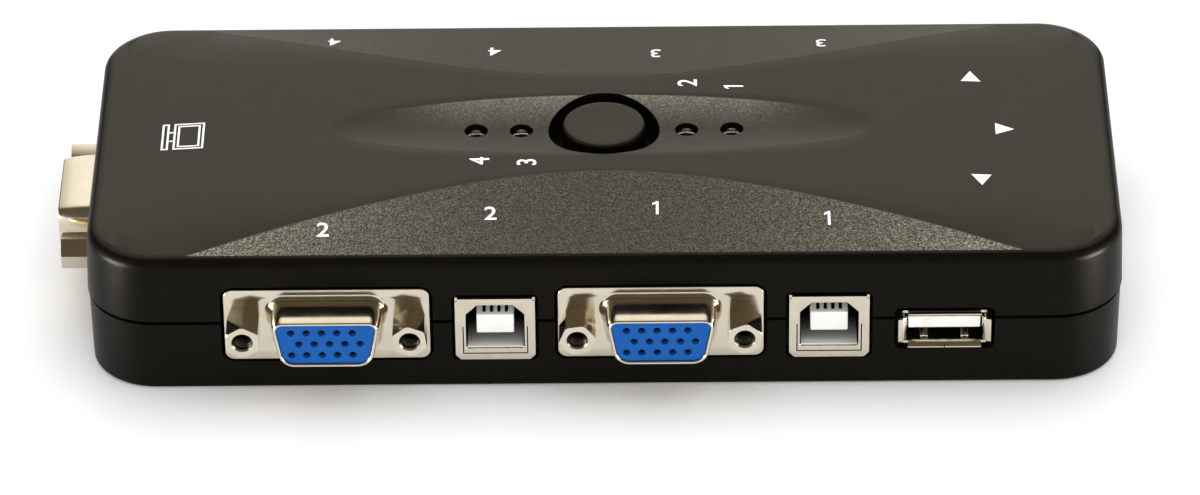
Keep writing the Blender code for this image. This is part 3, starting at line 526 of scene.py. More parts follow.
def group(name, kind, inputs, outputs):
    """A node group with its interface: its node adder, its inputs and its output node."""
    tree = bpy.data.node_groups.new(name, kind)
    for label, socket, default in inputs:
        item = tree.interface.new_socket(label, in_out="INPUT", socket_type=f"NodeSocket{socket}")
        if default is not None:
            item.default_value = default
    for label, socket in outputs:
        tree.interface.new_socket(label, in_out="OUTPUT", socket_type=f"NodeSocket{socket}")
    nodes = Nodes(tree)
    return nodes, nodes.add("NodeGroupInput").outputs, nodes.add("NodeGroupOutput")


def mottle_group():
    """Colour that varies in soft clouds, and the clouds themselves."""
    nodes, given, result = group(
        "mottle", "ShaderNodeTree",
        [("Color", "Color", None), ("Scale", "Float", 100.0), ("Amount", "Float", 0.1)],
        [("Color", "Color"), ("Cloud", "Float")],
    )
    cloud = nodes.noise(nodes.place(), given["Scale"], 4.0)[0]
    swing = nodes.math("MULTIPLY_ADD", cloud, 2.0, -1.0)
    level = nodes.math("MULTIPLY_ADD", swing, given["Amount"], 1.0)
    nodes.fill(result, {"Color": nodes.scaled(given["Color"], level), "Cloud": cloud})
    return nodes.tree


def grain_group():
    """Fine moulded or etched grain as a normal, with its height."""
    nodes, given, result = group(
        "grain", "ShaderNodeTree",
        [("Scale", "Float", 2000.0), ("Depth", "Float", 0.00002),
         ("Mask", "Float", 1.0), ("Normal", "Vector", None)],
        [("Normal", "Vector"), ("Height", "Float")],
    )
    bend_length, bend_height = 0.0006, 0.6
    place = nodes.place()
    bend = nodes.noise(place, given["Scale"], 2.0)
    shift = nodes.scaled(bend[1], bend_length)
    bent = nodes.add("ShaderNodeVectorMath", {0: place, 1: shift}, operation="ADD").outputs[0]
    cells = nodes.add("ShaderNodeTexVoronoi", {"Vector": bent, "Scale": given["Scale"]}).outputs["Distance"]
    height = nodes.math("MULTIPLY_ADD", bend[0], bend_height, cells)
    bump = nodes.add("ShaderNodeBump", {
        "Height": nodes.math("MULTIPLY", height, given["Mask"]), "Distance": given["Depth"],
        "Normal": given["Normal"],
    }).outputs[0]
    nodes.fill(result, {"Normal": bump, "Height": height})
    return nodes.tree


def streak_group():
    """Rolled sheet: streaks along one axis as a value and a normal."""
    nodes, given, result = group(
        "streaks", "ShaderNodeTree",
        [("Scale", "Float", 300.0), ("Depth", "Float", 0.000004)],
        [("Value", "Float"), ("Normal", "Vector")],
    )
    stretch = nodes.add("ShaderNodeMapping", {"Vector": nodes.place(), "Scale": (1.0, 1.0, 9.0)}).outputs[0]
    lines = nodes.noise(stretch, given["Scale"], 5.0)[0]
    bump = nodes.add("ShaderNodeBump", {"Height": lines, "Distance": given["Depth"]}).outputs[0]
    nodes.fill(result, {"Value": lines, "Normal": bump})
    return nodes.tree


def edge_group():
    """How near a place is to a sharp edge, broken up where the edge is less worn."""
    nodes, given, result = group(
        "edges", "ShaderNodeTree",
        [("Radius", "Float", 0.0002), ("Scale", "Float", 900.0)],
        [("Edge", "Float")],
    )
    level, sharp = 0.995, 0.88
    least, most = 0.4, 1.3
    soft = nodes.add("ShaderNodeBevel", {"Radius": given["Radius"]}, samples=4).outputs[0]
    true = nodes.add("ShaderNodeNewGeometry").outputs["Normal"]
    near = nodes.add("ShaderNodeVectorMath", {0: soft, 1: true}, operation="DOT_PRODUCT").outputs["Value"]
    worn = nodes.spread(nodes.noise(nodes.place(), given["Scale"], 3.0)[0], least, most)
    nodes.fill(result, {"Edge": nodes.math("MULTIPLY", nodes.ramp(near, level, sharp), worn)})
    return nodes.tree


def zone_group(case, shape):
    """Masks of the panels, the eye, its rear slope and the rear half, and how near a place is to the ends."""
    zones = ("Panel", "Eye", "Slope", "Rear", "Ends")
    nodes, _, result = group("zones", "ShaderNodeTree", [], [(zone, "Float") for zone in zones])
    panel_blur, eye_rim, eye_tip = 0.0003, 0.95, 0.55
    x, y, _ = nodes.add("ShaderNodeSeparateXYZ", {0: nodes.place()}).outputs
    depth = nodes.math("ABSOLUTE", y)
    wide = nodes.math("MULTIPLY", x, case.waist_spread)
    square = nodes.math("MULTIPLY_ADD", wide, wide, case.waist_half_depth ** 2)
    past = nodes.math("SUBTRACT", depth, nodes.math("SQRT", square))
    within = nodes.math("LESS_THAN", depth, shape.etch_y)
    across = nodes.math("DIVIDE", y, case.eye_half_depth)
    along = nodes.math("DIVIDE", x, case.eye_half_length)
    reach = nodes.math("MULTIPLY_ADD", across, across, nodes.math("MULTIPLY", along, along))
    tips = nodes.ramp(nodes.math("ABSOLUTE", along), 1.0, eye_tip)
    eye = nodes.math("MULTIPLY", nodes.ramp(reach, 1.0, eye_rim), tips)
    share = nodes.math("DIVIDE", x, shape.half_x)
    nodes.fill(result, {
        "Panel": nodes.math("MULTIPLY", nodes.ramp(past, 0.0, panel_blur), within),
        "Eye": eye,
        "Slope": nodes.math("MULTIPLY", eye, nodes.math("MAXIMUM", across, 0.0)),
        "Rear": nodes.math("GREATER_THAN", y, 0.0),
        "Ends": nodes.math("MULTIPLY", share, share),
    })
    return nodes.tree


class Finishes:
    """The materials, made once for the scene."""

    plain, warm = (1.0, 1.0, 1.0, 1.0), (1.0, 0.91, 0.70, 1.0)
    edge_radius, edge_polish, polish_power = 0.00025, 0.10, 0.4
    dull_swing, plastic_clouds, grain_to_clouds = 0.06, 0.12, 8
    shade_power, track_lift = 2.2, 1.8
    streak_polish, streak_dull = 0.08, 0.10
    # Least and most roughness.
    top_satin, floor_satin, lens_haze = (0.36, 0.44), (0.30, 0.42), (0.02, 0.10)

    # Tones of the top. A pair holds the front half's value and the rear half's. The halves' different tones
    # and the eye's rear slope lift are painted light.
    end_pale, half_tone, half_speck = (2.9, 1.7), (0.85, 0.76), (1.0, 0.18)
    dish_low, slope_lift, etched_dull = 0.40, 2.6, 0.08
    speck_middle, speck_ends, speck_eye = 4.0, 6.0, 2.2
    grain_mean, least_level = 0.66, 0.2

    def __init__(self, finish, case, shape):
        self.mottle = mottle_group()
        self.grain = grain_group()
        self.streaks = streak_group()
        self.edges = edge_group()
        self.zones = zone_group(case, shape)
        self.case_top(finish)
        # The first plastic below, a darker, less glossy copy of the top's black plastic for the walls, the
        # lower rounded edge and the button's skirt, is painted shade.
        # Plastics: colour, roughness, grains to the metre, depth of the grain, gloss and the gloss's tint.
        self.plastic("case_wall_painted_shade", finish.wall, 0.36, 2600.0, 0.000007, 0.095, self.warm)
        self.plastic("button_satin", finish.waist, 0.40, 2600.0, 0.000006, 0.335, self.warm)
        self.plastic("blue_insert", finish.blue, 0.36, 1500.0, 0.000008, 0.30)
        self.plastic("white_insulator", finish.white, 0.40, 1800.0, 0.000006, 0.40)
        self.plastic("black_chip", (0.014, 0.014, 0.014), 0.55, 3000.0, 0.000010, 0.40)
        # Painted shade: near-black plastic put in the sockets' mouths and slots, the parting groove and the
        # lamps' cups, where there is only shade.
        self.plastic("painted_shade_hollow", (0.003, 0.003, 0.003), 0.6, 1500.0, 0.000010, 0.10)
        self.plastic("white_ink", finish.ink, 0.5, 2500.0, 0.000004, 0.30)
        # Metals: colour and roughness.
        self.metal("nickel_plate", finish.nickel, 0.15)
        self.metal("contact_brass", finish.brass, 0.25)
        self.metal("bright_steel", (0.60, 0.60, 0.60), 0.28)
        # Painted shade: dark steel put in the jack screws' bores and threads and in the pin holes' sleeves,
        # where there is only shade.
        self.metal("painted_shade_steel", (0.10, 0.09, 0.075), 0.30)
        self.shaded_floor("grey_insulator_painted_shade", (0.74, 0.74, 0.70))
        self.board_resist(finish)
        self.clear_lens((0.78, 0.79, 0.80))

    def plastic(self, name, tone, roughness, scale, depth, gloss, tint=plain):
        """Moulded plastic with clouds in its colour and gloss, and a fine grain."""
        nodes, shader = new_material(name)
        clouds = scale / self.grain_to_clouds
        mottle = nodes.shared(self.mottle, color=(*tone, 1.0), scale=clouds, amount=self.plastic_clouds)
        edge = nodes.shared(self.edges, radius=self.edge_radius)["Edge"]
        dull = nodes.spread(mottle["Cloud"], roughness - self.dull_swing, roughness + self.dull_swing)
        nodes.fill(shader, {
            "Base Color": mottle["Color"],
            "Roughness": nodes.math("MULTIPLY_ADD", edge, -self.edge_polish, dull),
            "Normal": nodes.shared(self.grain, scale=scale, depth=depth)["Normal"],
            "Specular IOR Level": gloss,
            "Specular Tint": tint,
        })

    def shaded_floor(self, name, tone):
        """Grey moulding with painted shade that darkens it with depth, by the mesh's own shade value."""
        nodes, shader = new_material(name)
        shade = nodes.add("ShaderNodeAttribute", attribute_name="shade").outputs["Fac"]
        mottle = nodes.shared(self.mottle, color=(*tone, 1.0), scale=220.0, amount=0.10)
        nodes.fill(shader, {
            "Base Color": nodes.scaled(mottle["Color"], nodes.math("POWER", shade, self.shade_power)),
            "Roughness": nodes.spread(mottle["Cloud"], *self.floor_satin),
            "Normal": nodes.shared(self.grain, scale=1800.0, depth=0.000006)["Normal"],
            "Specular IOR Level": 0.20,
        })

    def case_top(self, finish):
        """Black plastic of the top: satin waist, etched panels that pale towards their ends, etched eye, and
        painted light: a lighter front half and a lifted rear slope of the eye.
        """
        nodes, shader = new_material("case_top")
        panel, eye, slope, rear, ends = nodes.shared(self.zones)
        dish = nodes.math("MULTIPLY", eye, nodes.spread(slope, self.dish_low, 1.0))
        etched = nodes.math("MAXIMUM", panel, dish)
        pale = nodes.math("MULTIPLY_ADD", ends, nodes.spread(rear, *self.end_pale), 1.0)
        # Painted light: the halves' tones and the lift on the eye's rear slope.
        half = nodes.math("MULTIPLY", pale, nodes.spread(rear, *self.half_tone))
        tone_with_painted_light = nodes.math("MULTIPLY_ADD", slope, self.slope_lift, half)
        base = nodes.mix(etched, (*finish.waist, 1.0), nodes.scaled(finish.panel, tone_with_painted_light))
        mottle = nodes.shared(self.mottle, color=base, scale=240.0, amount=0.10)
        fine = nodes.shared(self.grain, scale=2600.0, depth=0.000006)["Normal"]
        coarse = nodes.shared(self.grain, scale=3300.0, depth=0.00006, mask=etched, normal=fine)
        speckled = nodes.math("MULTIPLY_ADD", ends, self.speck_ends, self.speck_middle)
        speckled = nodes.math("MULTIPLY", speckled, nodes.spread(rear, *self.half_speck))
        strength = nodes.math("MULTIPLY_ADD", eye, self.speck_eye, nodes.math("MULTIPLY", panel, speckled))
        speck = nodes.math("MULTIPLY", nodes.math("SUBTRACT", coarse["Height"], self.grain_mean), strength)
        level = nodes.math("MAXIMUM", nodes.math("ADD", speck, 1.0), self.least_level)
        satin = nodes.spread(mottle["Cloud"], *self.top_satin)
        nodes.fill(shader, {
            "Base Color": nodes.scaled(mottle["Color"], level),
            "Roughness": nodes.math("MULTIPLY_ADD", etched, self.etched_dull, satin),
            "Normal": coarse["Normal"],
            "Specular IOR Level": 0.345,
            "Specular Tint": self.warm,
        })

    def metal(self, name, tone, roughness):
        """Rolled and plated metal with streaks in its gloss, clouds in its colour, and paler edges that are
        partly wear, partly a painted highlight.
        """
        nodes, shader = new_material(name)
        mottle = nodes.shared(self.mottle, color=(*tone, 1.0), scale=420.0, amount=0.10)
        streaks = nodes.shared(self.streaks)
        edge = nodes.shared(self.edges, radius=self.edge_radius)["Edge"]
        # Paler edges: partly wear, partly a painted highlight along the rims.
        wear_and_highlight = (*(channel ** self.polish_power for channel in tone), 1.0)
        nodes.fill(shader, {
            "Base Color": nodes.mix(edge, mottle["Color"], wear_and_highlight),
            "Roughness": nodes.spread(
                streaks["Value"], roughness - self.streak_polish, roughness + self.streak_dull
            ),
            "Normal": streaks["Normal"],
            "Metallic": 1.0,
        })

    def board_resist(self, finish):
        """Green resist with paler tracks under it."""
        nodes, shader = new_material("board_resist")
        resist = (*finish.board, 1.0)
        track = (*(channel * self.track_lift for channel in finish.board), 1.0)
        tracks = nodes.add("ShaderNodeTexBrick", {
            "Vector": nodes.place(), "Scale": 260.0, "Mortar Size": 0.06,
            "Color1": resist, "Color2": resist, "Mortar": track,
        }).outputs
        bump = nodes.add("ShaderNodeBump", {"Height": tracks["Fac"], "Distance": 0.00003}).outputs[0]
        nodes.fill(shader, {"Base Color": tracks["Color"], "Normal": bump, "Roughness": 0.35})

    def clear_lens(self, tone):
        """Smoky clear lamp body with a faint haze."""
        nodes, shader = new_material("clear_lens")
        mottle = nodes.shared(self.mottle, color=(*tone, 1.0), scale=900.0, amount=0.05)
        nodes.fill(shader, {
            "Base Color": mottle["Color"],
            "Roughness": nodes.spread(mottle["Cloud"], *self.lens_haze),
            "Transmission Weight": 1.0,
        })


def repeat_group():
    """Geometry nodes: copies of the incoming mesh on a grid about the origin, odd rows moved aside."""
    nodes, given, result = group(
        "repeat_on_grid", "GeometryNodeTree",
        [("Geometry", "Geometry", None), ("Columns", "Int", 1), ("Rows", "Int", 1),
         ("Column Step", "Float", 0.001), ("Row Step", "Float", 0.001),
         ("Odd Shift", "Float", 0.0), ("Material", "Material", None)],
        [("Geometry", "Geometry")],
    )
    index = nodes.add("GeometryNodeInputIndex").outputs[0]
    row = nodes.math("FLOOR", nodes.math("DIVIDE", index, given["Columns"]))
    column = nodes.math("MODULO", index, given["Columns"])
    half_columns = nodes.math("MULTIPLY_ADD", given["Columns"], 0.5, -0.5)
    half_rows = nodes.math("MULTIPLY_ADD", given["Rows"], 0.5, -0.5)
    side = nodes.math("MULTIPLY_ADD", nodes.math("MODULO", row, 2.0), 2.0, -1.0)
    aside = nodes.math("MULTIPLY", side, given["Odd Shift"])
    x = nodes.math("MULTIPLY_ADD", nodes.math("SUBTRACT", column, half_columns), given["Column Step"], aside)
    y = nodes.math("MULTIPLY", nodes.math("SUBTRACT", row, half_rows), given["Row Step"])
    place = nodes.add("ShaderNodeCombineXYZ", {0: x, 1: y}).outputs[0]
    count = nodes.math("MULTIPLY", given["Columns"], given["Rows"])
    points = nodes.add("GeometryNodePoints", {"Count": count, "Position": place}).outputs[0]
    copies = nodes.add("GeometryNodeInstanceOnPoints", {"Points": points, "Instance": given["Geometry"]})
    real = nodes.add("GeometryNodeRealizeInstances", {0: copies.outputs[0]}).outputs[0]
    coated = nodes.add("GeometryNodeSetMaterial", {"Geometry": real, "Material": given["Material"]})
    nodes.fill(result, {"Geometry": coated.outputs[0]})
    return nodes.tree


def repeated(tree, mesh, material, **values):
    """A plain mesh of copies made by the repeat group, its inputs given by their names."""
    item = link("repeated", mesh)
    modifier = item.modifiers.new("repeat", "NODES")
    modifier.node_group = tree
    sockets = {s.name: s.identifier for s in tree.interface.items_tree if s.in_out == "INPUT"}
    modifier[sockets["Material"]] = material
    for name, value in values.items():
        modifier[sockets[name.replace("_", " ").title()]] = value
    return settled(item)


# Shape of the case

class CaseShape:
    """Plan outline and top surface of the case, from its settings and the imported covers."""

    # The panels' etching runs a little way over the rounded edge.
    etch_share = 0.26
    # Grid lines along the eye, beyond it and round a corner, across a half's three bands, and down the edge.
    eye_columns, outer_columns, corner_steps = 30, 12, 14
    row_steps = (8, 6, 10)
    edge_steps = 6

    def __init__(self, case):
        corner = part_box("top_cover")[1]
        self.case = case
        self.apex = corner.z
        self.crown = corner.z - case.edge_height
        self.half_x, self.half_y = corner.x, corner.y
        self.core_x, self.core_y = corner.x - case.corner_radius, corner.y - case.corner_radius
        self.inset = case.top_lean + case.edge_fillet
        self.sheet_radius = case.corner_radius - self.inset
        self.sheet_x, self.sheet_y = self.core_x + self.sheet_radius, self.core_y + self.sheet_radius
        self.etch_y = self.sheet_y + self.etch_share * case.edge_fillet

    def outline(self, inset):
        """The plan outline, moved in by inset."""
        corners = rectangle(2 * self.half_x, 2 * self.half_y)
        return rounded(corners, self.case.corner_radius, -inset, self.corner_steps)

    def edge(self, x):
        """Half depth of the top sheet at X."""
        past = max(abs(x) - self.core_x, 0.0)
        return self.core_y + math.sqrt(max(self.sheet_radius ** 2 - past ** 2, 0.0))

    def eye(self, x):
        """Half depth of the eye at X."""
        return self.case.eye_half_depth * math.sqrt(max(1 - (x / self.case.eye_half_length) ** 2, 0.0))

    def waist(self, x):
        """Half depth of the smooth waist at X."""
        return min(math.hypot(self.case.waist_half_depth, self.case.waist_spread * x), self.edge(x))

    def height(self, x, y):
        """Height of the top: arched in the waist, dished in the eye, sloped straight down in the panels."""
        waist, edge = self.waist(x), self.edge(x)
        arch = self.crown * (1 - (x / self.sheet_x) ** 2)
        rise = arch * (1 - (min(abs(y), waist) / self.sheet_y) ** self.case.waist_fullness)
        if waist < abs(y):
            rise *= max(edge - abs(y), 0.0) / max(edge - waist, WELD)
        reach = (x / self.case.eye_half_length) ** 2 + (y / self.case.eye_half_depth) ** 2
        return self.case.edge_height + rise - self.case.eye_dish * max(1 - reach, 0.0)

    def columns(self):
        """X of the sheet's grid lines, closest at the eye's tips and round the corners."""
        eye = [self.case.eye_half_length * s for s, _ in quarter_steps(self.eye_columns)[1:]]
        end = math.sqrt(self.sheet_y ** 2 - self.case.waist_half_depth ** 2) / self.case.waist_spread
        steps = self.outer_columns
        outer = [eye[-1] + (end - eye[-1]) * step / steps for step in range(1, steps + 1)]
        corner = [self.core_x + self.sheet_radius * s for s, _ in quarter_steps(self.corner_steps)]
        half = sorted(eye + outer + corner)
        return [-x for x in reversed(half)] + [0.0] + half

    def rows(self, x):
        """Y of the grid points at X, with lines along the eye's rim, the panel's edge and the sheet's."""
        marks = (0.0, self.eye(x), self.waist(x), self.edge(x))
        half = []
        for low, high, steps in zip(marks, marks[1:], self.row_steps):
            half += [low + (high - low) * step / steps for step in range(1, steps + 1)]
        return [-y for y in reversed(half)] + [0.0] + half

    def run_on(self, skin, inset, height):
        """Runs the open edge of a skin on to the outline, moved in by inset, at a new height."""
        grown = {}
        # The faces are made one by one, because the extrude tool's order changes from run to run.
        for edge in [edge for edge in skin.edges if edge.is_boundary]:
            loop = edge.link_loops[0]
            first, second = loop.vert, loop.link_loop_next.vert
            for vert in (first, second):
                if vert not in grown:
                    core = Vector((
                        min(max(vert.co.x, -self.core_x), self.core_x),
                        min(max(vert.co.y, -self.core_y), self.core_y),
                    ))
                    spot = core + (vert.co.xy - core).normalized() * (self.case.corner_radius - inset)
                    grown[vert] = skin.verts.new((*spot, height))
            skin.faces.new((second, first, grown[first], grown[second]))

    def skin(self):
        """The top cover's outer surface, open at the parting line."""
        columns = self.columns()
        rows = [self.rows(x) for x in columns]
        last_column, last_row = len(columns) - 1, len(rows[0]) - 1
        skin = bmesh.new()
        bmesh.ops.create_grid(skin, x_segments=last_column, y_segments=last_row, size=0.5)
        for vert in skin.verts:
            column = round((vert.co.x + 0.5) * last_column)
            row = round((vert.co.y + 0.5) * last_row)
            x, y = columns[column], rows[column][row]
            vert.co = (x, y, self.height(x, y))
        bmesh.ops.remove_doubles(skin, verts=skin.verts, dist=WELD)
        fillet = self.case.edge_fillet
        for out, drop in quarter_steps(self.edge_steps)[1:]:
            self.run_on(skin, self.inset - fillet * out, self.case.edge_height - fillet * drop)
        self.run_on(skin, 0.0, self.case.parting_height + self.case.parting_gap / 2)
        return mesh_of(skin, "top_skin")


def socket_openings(sockets):
    """Cutters for the sockets' holes in the case's walls."""
    cutters = []
    for name in VIDEO_SOCKETS + SQUARE_SOCKETS + FLAT_SOCKETS:
        node = f"{name}_shell"
        low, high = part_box(node)
        place = socket_place(node)
        along, out = place.col[0].xyz, place.col[2].xyz
        size = high - low
        corner = sockets.flange_corner if name in VIDEO_SOCKETS else sockets.can_wall
        face = rectangle(abs(size.dot(along)), size.z)
        face = rounded(face, corner, sockets.opening_gap, SHEET_STEPS)
        case_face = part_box("top_cover")[1].dot(Vector(abs(value) for value in out))
        place.translation += out * (case_face - place.translation.dot(out))
        cutters.append(moved(plate([face], -sockets.opening_depth, CUT_OVER), place))
    return cutters


# Operators. Each makes one piece or a group of like pieces.

class Builder:
    """What the operators share."""

    bl_options = {"REGISTER", "UNDO"}

    # Faces that look up more than this count as level.
    level_slope = 0.5

    def ready(self, context):
        """The settings, and the finishes by name."""
        scene = context.scene
        self.case, self.sockets, self.finish = scene.switch_case, scene.switch_sockets, scene.switch_finish
        self.shape = CaseShape(self.case)
        self.looks = bpy.data.materials

    def chosen(self, *names):
        """Finishes in the order of a piece's material slots."""
        return [self.looks[name] for name in names]

    def paint_level(self, mesh, level, rest, above=0.0):
        """Puts the level faces above a height in one material slot, and the rest in another."""
        for face in mesh.polygons:
            chosen = face.center.z > above and face.normal.z > self.level_slope
            face.material_index = level if chosen else rest

    def copies(self, mesh, material, **values):
        """Copies of a mesh on a grid."""
        return repeated(bpy.data.node_groups["repeat_on_grid"], mesh, self.looks[material], **values)


class SWITCH_OT_finishes(Builder, bpy.types.Operator):
    """Make the materials and the node groups that the pieces share"""

    bl_idname = "switch.finishes"
    bl_label = "Finishes"

    def execute(self, context):
        self.ready(context)
        Finishes(self.finish, self.case, self.shape)
        repeat_group()
        return {"FINISHED"}


class SWITCH_OT_top_cover(Builder, bpy.types.Operator):
    """Make the arched top cover with its eye, panels, well and lamp holes"""

    bl_idname = "switch.top_cover"
    bl_label = "Top Cover"

    fillet_share = 0.12

    def execute(self, context):
        self.ready(context)
        case, shape = self.case, self.shape
        item = link("skin", shape.skin())
        wall = item.modifiers.new("wall", "SOLIDIFY")
        wall.thickness = case.wall
        wall.offset = -1.0
        wall.use_even_offset = True
        cover = settled(item)
        floor_top = shape.apex - case.well_depth
        ring = case.well_radius + case.well_wall
        collar_top = (shape.height(ring, 0.0) + shape.height(0.0, ring) - case.wall) / 2
        cover = combined(cover, [rod(ring, floor_top - case.well_floor, collar_top, WELL_SIDES)], "UNION")
        cap_hole, lamp_hole = case.cap_radius + case.hole_gap, case.lamp_radius + case.hole_gap
        tools = [
            rod(case.well_radius, floor_top, shape.apex + CUT_OVER, WELL_SIDES),
            rod(cap_hole, floor_top - case.well_floor - CUT_OVER, floor_top + CUT_OVER, WELL_SIDES),
        ]
        for lamp in LAMPS:
            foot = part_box(lamp)[1].z - 2 * case.wall
            tools.append(rod(lamp_hole, foot, shape.apex, HOLE_SIDES, plan_centre(lamp)))
        cover = combined(cover, tools + socket_openings(self.sockets), "DIFFERENCE")
        # Level faces high on the top take the top's plastic; the rest of the rounded edge, the walls and the
        # well take the darker, less glossy wall plastic: painted shade.
        self.paint_level(cover, 0, 1, case.edge_height - self.fillet_share * case.edge_fillet)
        looks = self.chosen("case_top", "case_wall_painted_shade")
        piece("top_cover_shell", cover, looks, "case", "case_plastic", "top_cover")
        return {"FINISHED"}


class SWITCH_OT_bottom_cover(Builder, bpy.types.Operator):
    """Make the bottom cover with its lip and the screw holes"""

    bl_idname = "switch.bottom_cover"
    bl_label = "Bottom Cover"

    fillet_steps = 5

    def execute(self, context):
        self.ready(context)
        case, shape = self.case, self.shape
        rim = case.parting_height - case.parting_gap / 2
        foot = case.rim_step + case.base_lean
        rings = []
        for sine, rise in quarter_steps(self.fillet_steps):
            rings.append((shape.outline(foot + case.base_fillet * (1 - sine)), case.base_fillet * rise))
        lip_top = rim + case.lip_height
        inner = case.lip_inset + case.lip_wall
        rings += [
            (shape.outline(case.rim_step), rim),
            (shape.outline(case.lip_inset), rim),
            (shape.outline(case.lip_inset), lip_top),
            (shape.outline(inner), lip_top),
            (shape.outline(inner), case.floor),
        ]
        tools = socket_openings(self.sockets)
        for screw in CASE_SCREWS:
            low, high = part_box(screw)
            radius = (high.x - low.x) / 2 + case.hole_gap
            tools.append(rod(radius, -CUT_OVER, case.floor + CUT_OVER, SCREW_SIDES, plan_centre(screw)))
        cover = combined(loft(rings), tools, "DIFFERENCE")
        # Level faces above half the rim's height, the rim's top in the parting groove and the lip's, take
        # near-black plastic: painted shadow in the groove; the rest takes the darker wall plastic, painted
        # shade.
        self.paint_level(cover, 1, 0, rim / 2)
        looks = self.chosen("case_wall_painted_shade", "painted_shade_hollow")
        piece("bottom_cover_shell", cover, looks, "case", "case_plastic", "bottom_cover")
        return {"FINISHED"}


class SWITCH_OT_video_sockets(Builder, bpy.types.Operator):
    """Make the five video sockets: shells, inserts with their contacts, and threaded jack screws"""

    bl_idname = "switch.video_sockets"
    bl_label = "Video Sockets"

    # The jack screws stand as they were left, each at its own angle in degrees.
    jack_turns = (8, 22, 31, 38, 41, 5, 52, 24, 33, 12)
    hexagon, chamfer_share, chamfer_drop = 6, 0.545, 0.00015
    sink_share, sink_depth, bore_floor = 1.15, 0.0003, 0.0008
    thread_root, thread_crest, thread_floor, thread_clear = 1.02, 0.84, 0.0012, 0.0006
    shroud_steps, flare_steps, corner_steps, flange_steps = 6, 5, 10, 8
    face_round = 0.00010
    pin_columns, pin_rows, row_shift = 5, 3, 0.25
    sleeve_outer, sleeve_inner, sleeve_mouth, sleeve_throat = 0.9, 0.62, -0.0008, -0.0010

    def shroud(self, grow):
        """The shroud's outline, its sides moved out by grow."""
        s = self.sockets
        upper, half = s.shroud_width / 2, s.shroud_height / 2
        lower = upper - s.shroud_height * math.tan(s.shroud_slant)
        corners = [(-lower, -half), (lower, -half), (upper, half), (-upper, half)]
        return rounded(corners, [s.shroud_foot] * 2 + [s.shroud_corner] * 2, grow, self.corner_steps)

    def narrowing(self, height):
        """How far the shroud's side stands out at a height, over its place at the rim."""
        return self.sockets.shroud_taper * (1 - (height / self.sockets.shroud_reach) ** 2)

    def shell(self, width, height):
        """Flange with a flared, tapered and rolled shroud."""
        s = self.sockets
        face = rounded(rectangle(width, height), s.flange_corner, 0.0, self.flange_steps)
        flange = plate([face, self.shroud(s.shroud_taper)], -s.flange_thickness, 0.0, 2 * s.soft_edge)
        rings = [(self.shroud(s.shroud_taper + s.shroud_flare), -s.flange_thickness / 2)]
        for sine, drop in quarter_steps(self.flare_steps):
            rings.append((self.shroud(s.shroud_taper + s.shroud_flare * (1 - sine)), s.shroud_flare * drop))
        radius = s.shroud_wall / 2
        bend = s.shroud_reach - radius
        steps = self.shroud_steps
        heights = [s.shroud_flare + (bend - s.shroud_flare) * step / steps for step in range(1, steps)]
        rings += [(self.shroud(self.narrowing(height)), height) for height in heights]
        for step in range(steps + 1):
            turn = math.pi * step / steps
            rings.append((self.shroud(radius * math.cos(turn) - radius), bend + radius * math.sin(turn)))
        for height in reversed(heights):
            rings.append((self.shroud(self.narrowing(height) - s.shroud_wall), height))
        rings.append((self.shroud(s.shroud_taper - s.shroud_wall), -s.flange_thickness))
        return merged(flange, loft(rings, closed=True))

    def pins(self):
        """Places of the pin holes."""
        s = self.sockets
        half_columns, half_rows = (self.pin_columns - 1) / 2, (self.pin_rows - 1) / 2
        places = []
        for row in range(self.pin_rows):
            shift = s.pin_pitch * self.row_shift * (1 if row % 2 else -1)
            y = (row - half_rows) * s.pin_row_pitch
            for column in range(self.pin_columns):
                places.append(((column - half_columns) * s.pin_pitch + shift, y))
        return places

    def insert(self):
        """Moulded insert with countersunk pin holes, and sprung contacts in them."""
        s = self.sockets
        front = s.shroud_reach - s.insert_sunk
        outline = self.shroud(-s.shroud_wall - s.insert_gap)
        holes = [circle(s.pin_radius, PIN_SIDES, place) for place in self.pins()]
        face = plate([outline, *holes], front - s.pin_depth, front, self.face_round)
        back = plate([outline], -s.flange_thickness, front - s.pin_depth)
        outer, inner = s.pin_radius * self.sleeve_outer, s.pin_radius * self.sleeve_inner
        sleeve = turned([
            (outer, self.sleeve_mouth), (inner, self.sleeve_throat),
            (inner, -s.pin_depth), (outer, -s.pin_depth), (outer, self.sleeve_mouth),
        ], SLEEVE_SIDES)
        # The sleeves take dark steel: painted shade in the pin holes.
        sleeves = self.copies(
            sleeve, "painted_shade_steel", columns=self.pin_columns, rows=self.pin_rows,
            column_step=s.pin_pitch, row_step=s.pin_row_pitch, odd_shift=s.pin_pitch * self.row_shift,
        )
        sleeves.transform(Matrix.Translation((0, 0, front)))
        return merged(painted(face, 0), painted(back, 0), painted(sleeves, 1))

    def jack(self):
        """Hexagon jack screw with a turned chamfer and a thread in its bore."""
        s = self.sockets
        radius, top, bore = s.jack_flats / math.sqrt(3), s.jack_reach, s.jack_bore
        cone = turned([
            (0.0, top), (s.jack_flats * self.chamfer_share, top), (radius, top - self.chamfer_drop),
            (radius, -CUT_OVER), (0.0, -CUT_OVER),
        ], JACK_SIDES)
        head = combined(plate([circle(radius, self.hexagon)], 0.0, top), [cone], "INTERSECT")
        sink = bore * self.sink_share
        drill = turned([
            (0.0, top + CUT_OVER), (sink + CUT_OVER, top + CUT_OVER), (sink, top),
            (bore, top - self.sink_depth), (bore, self.bore_floor), (0.0, self.bore_floor),
        ], HOLE_SIDES)
        head = combined(head, [drill], "DIFFERENCE")
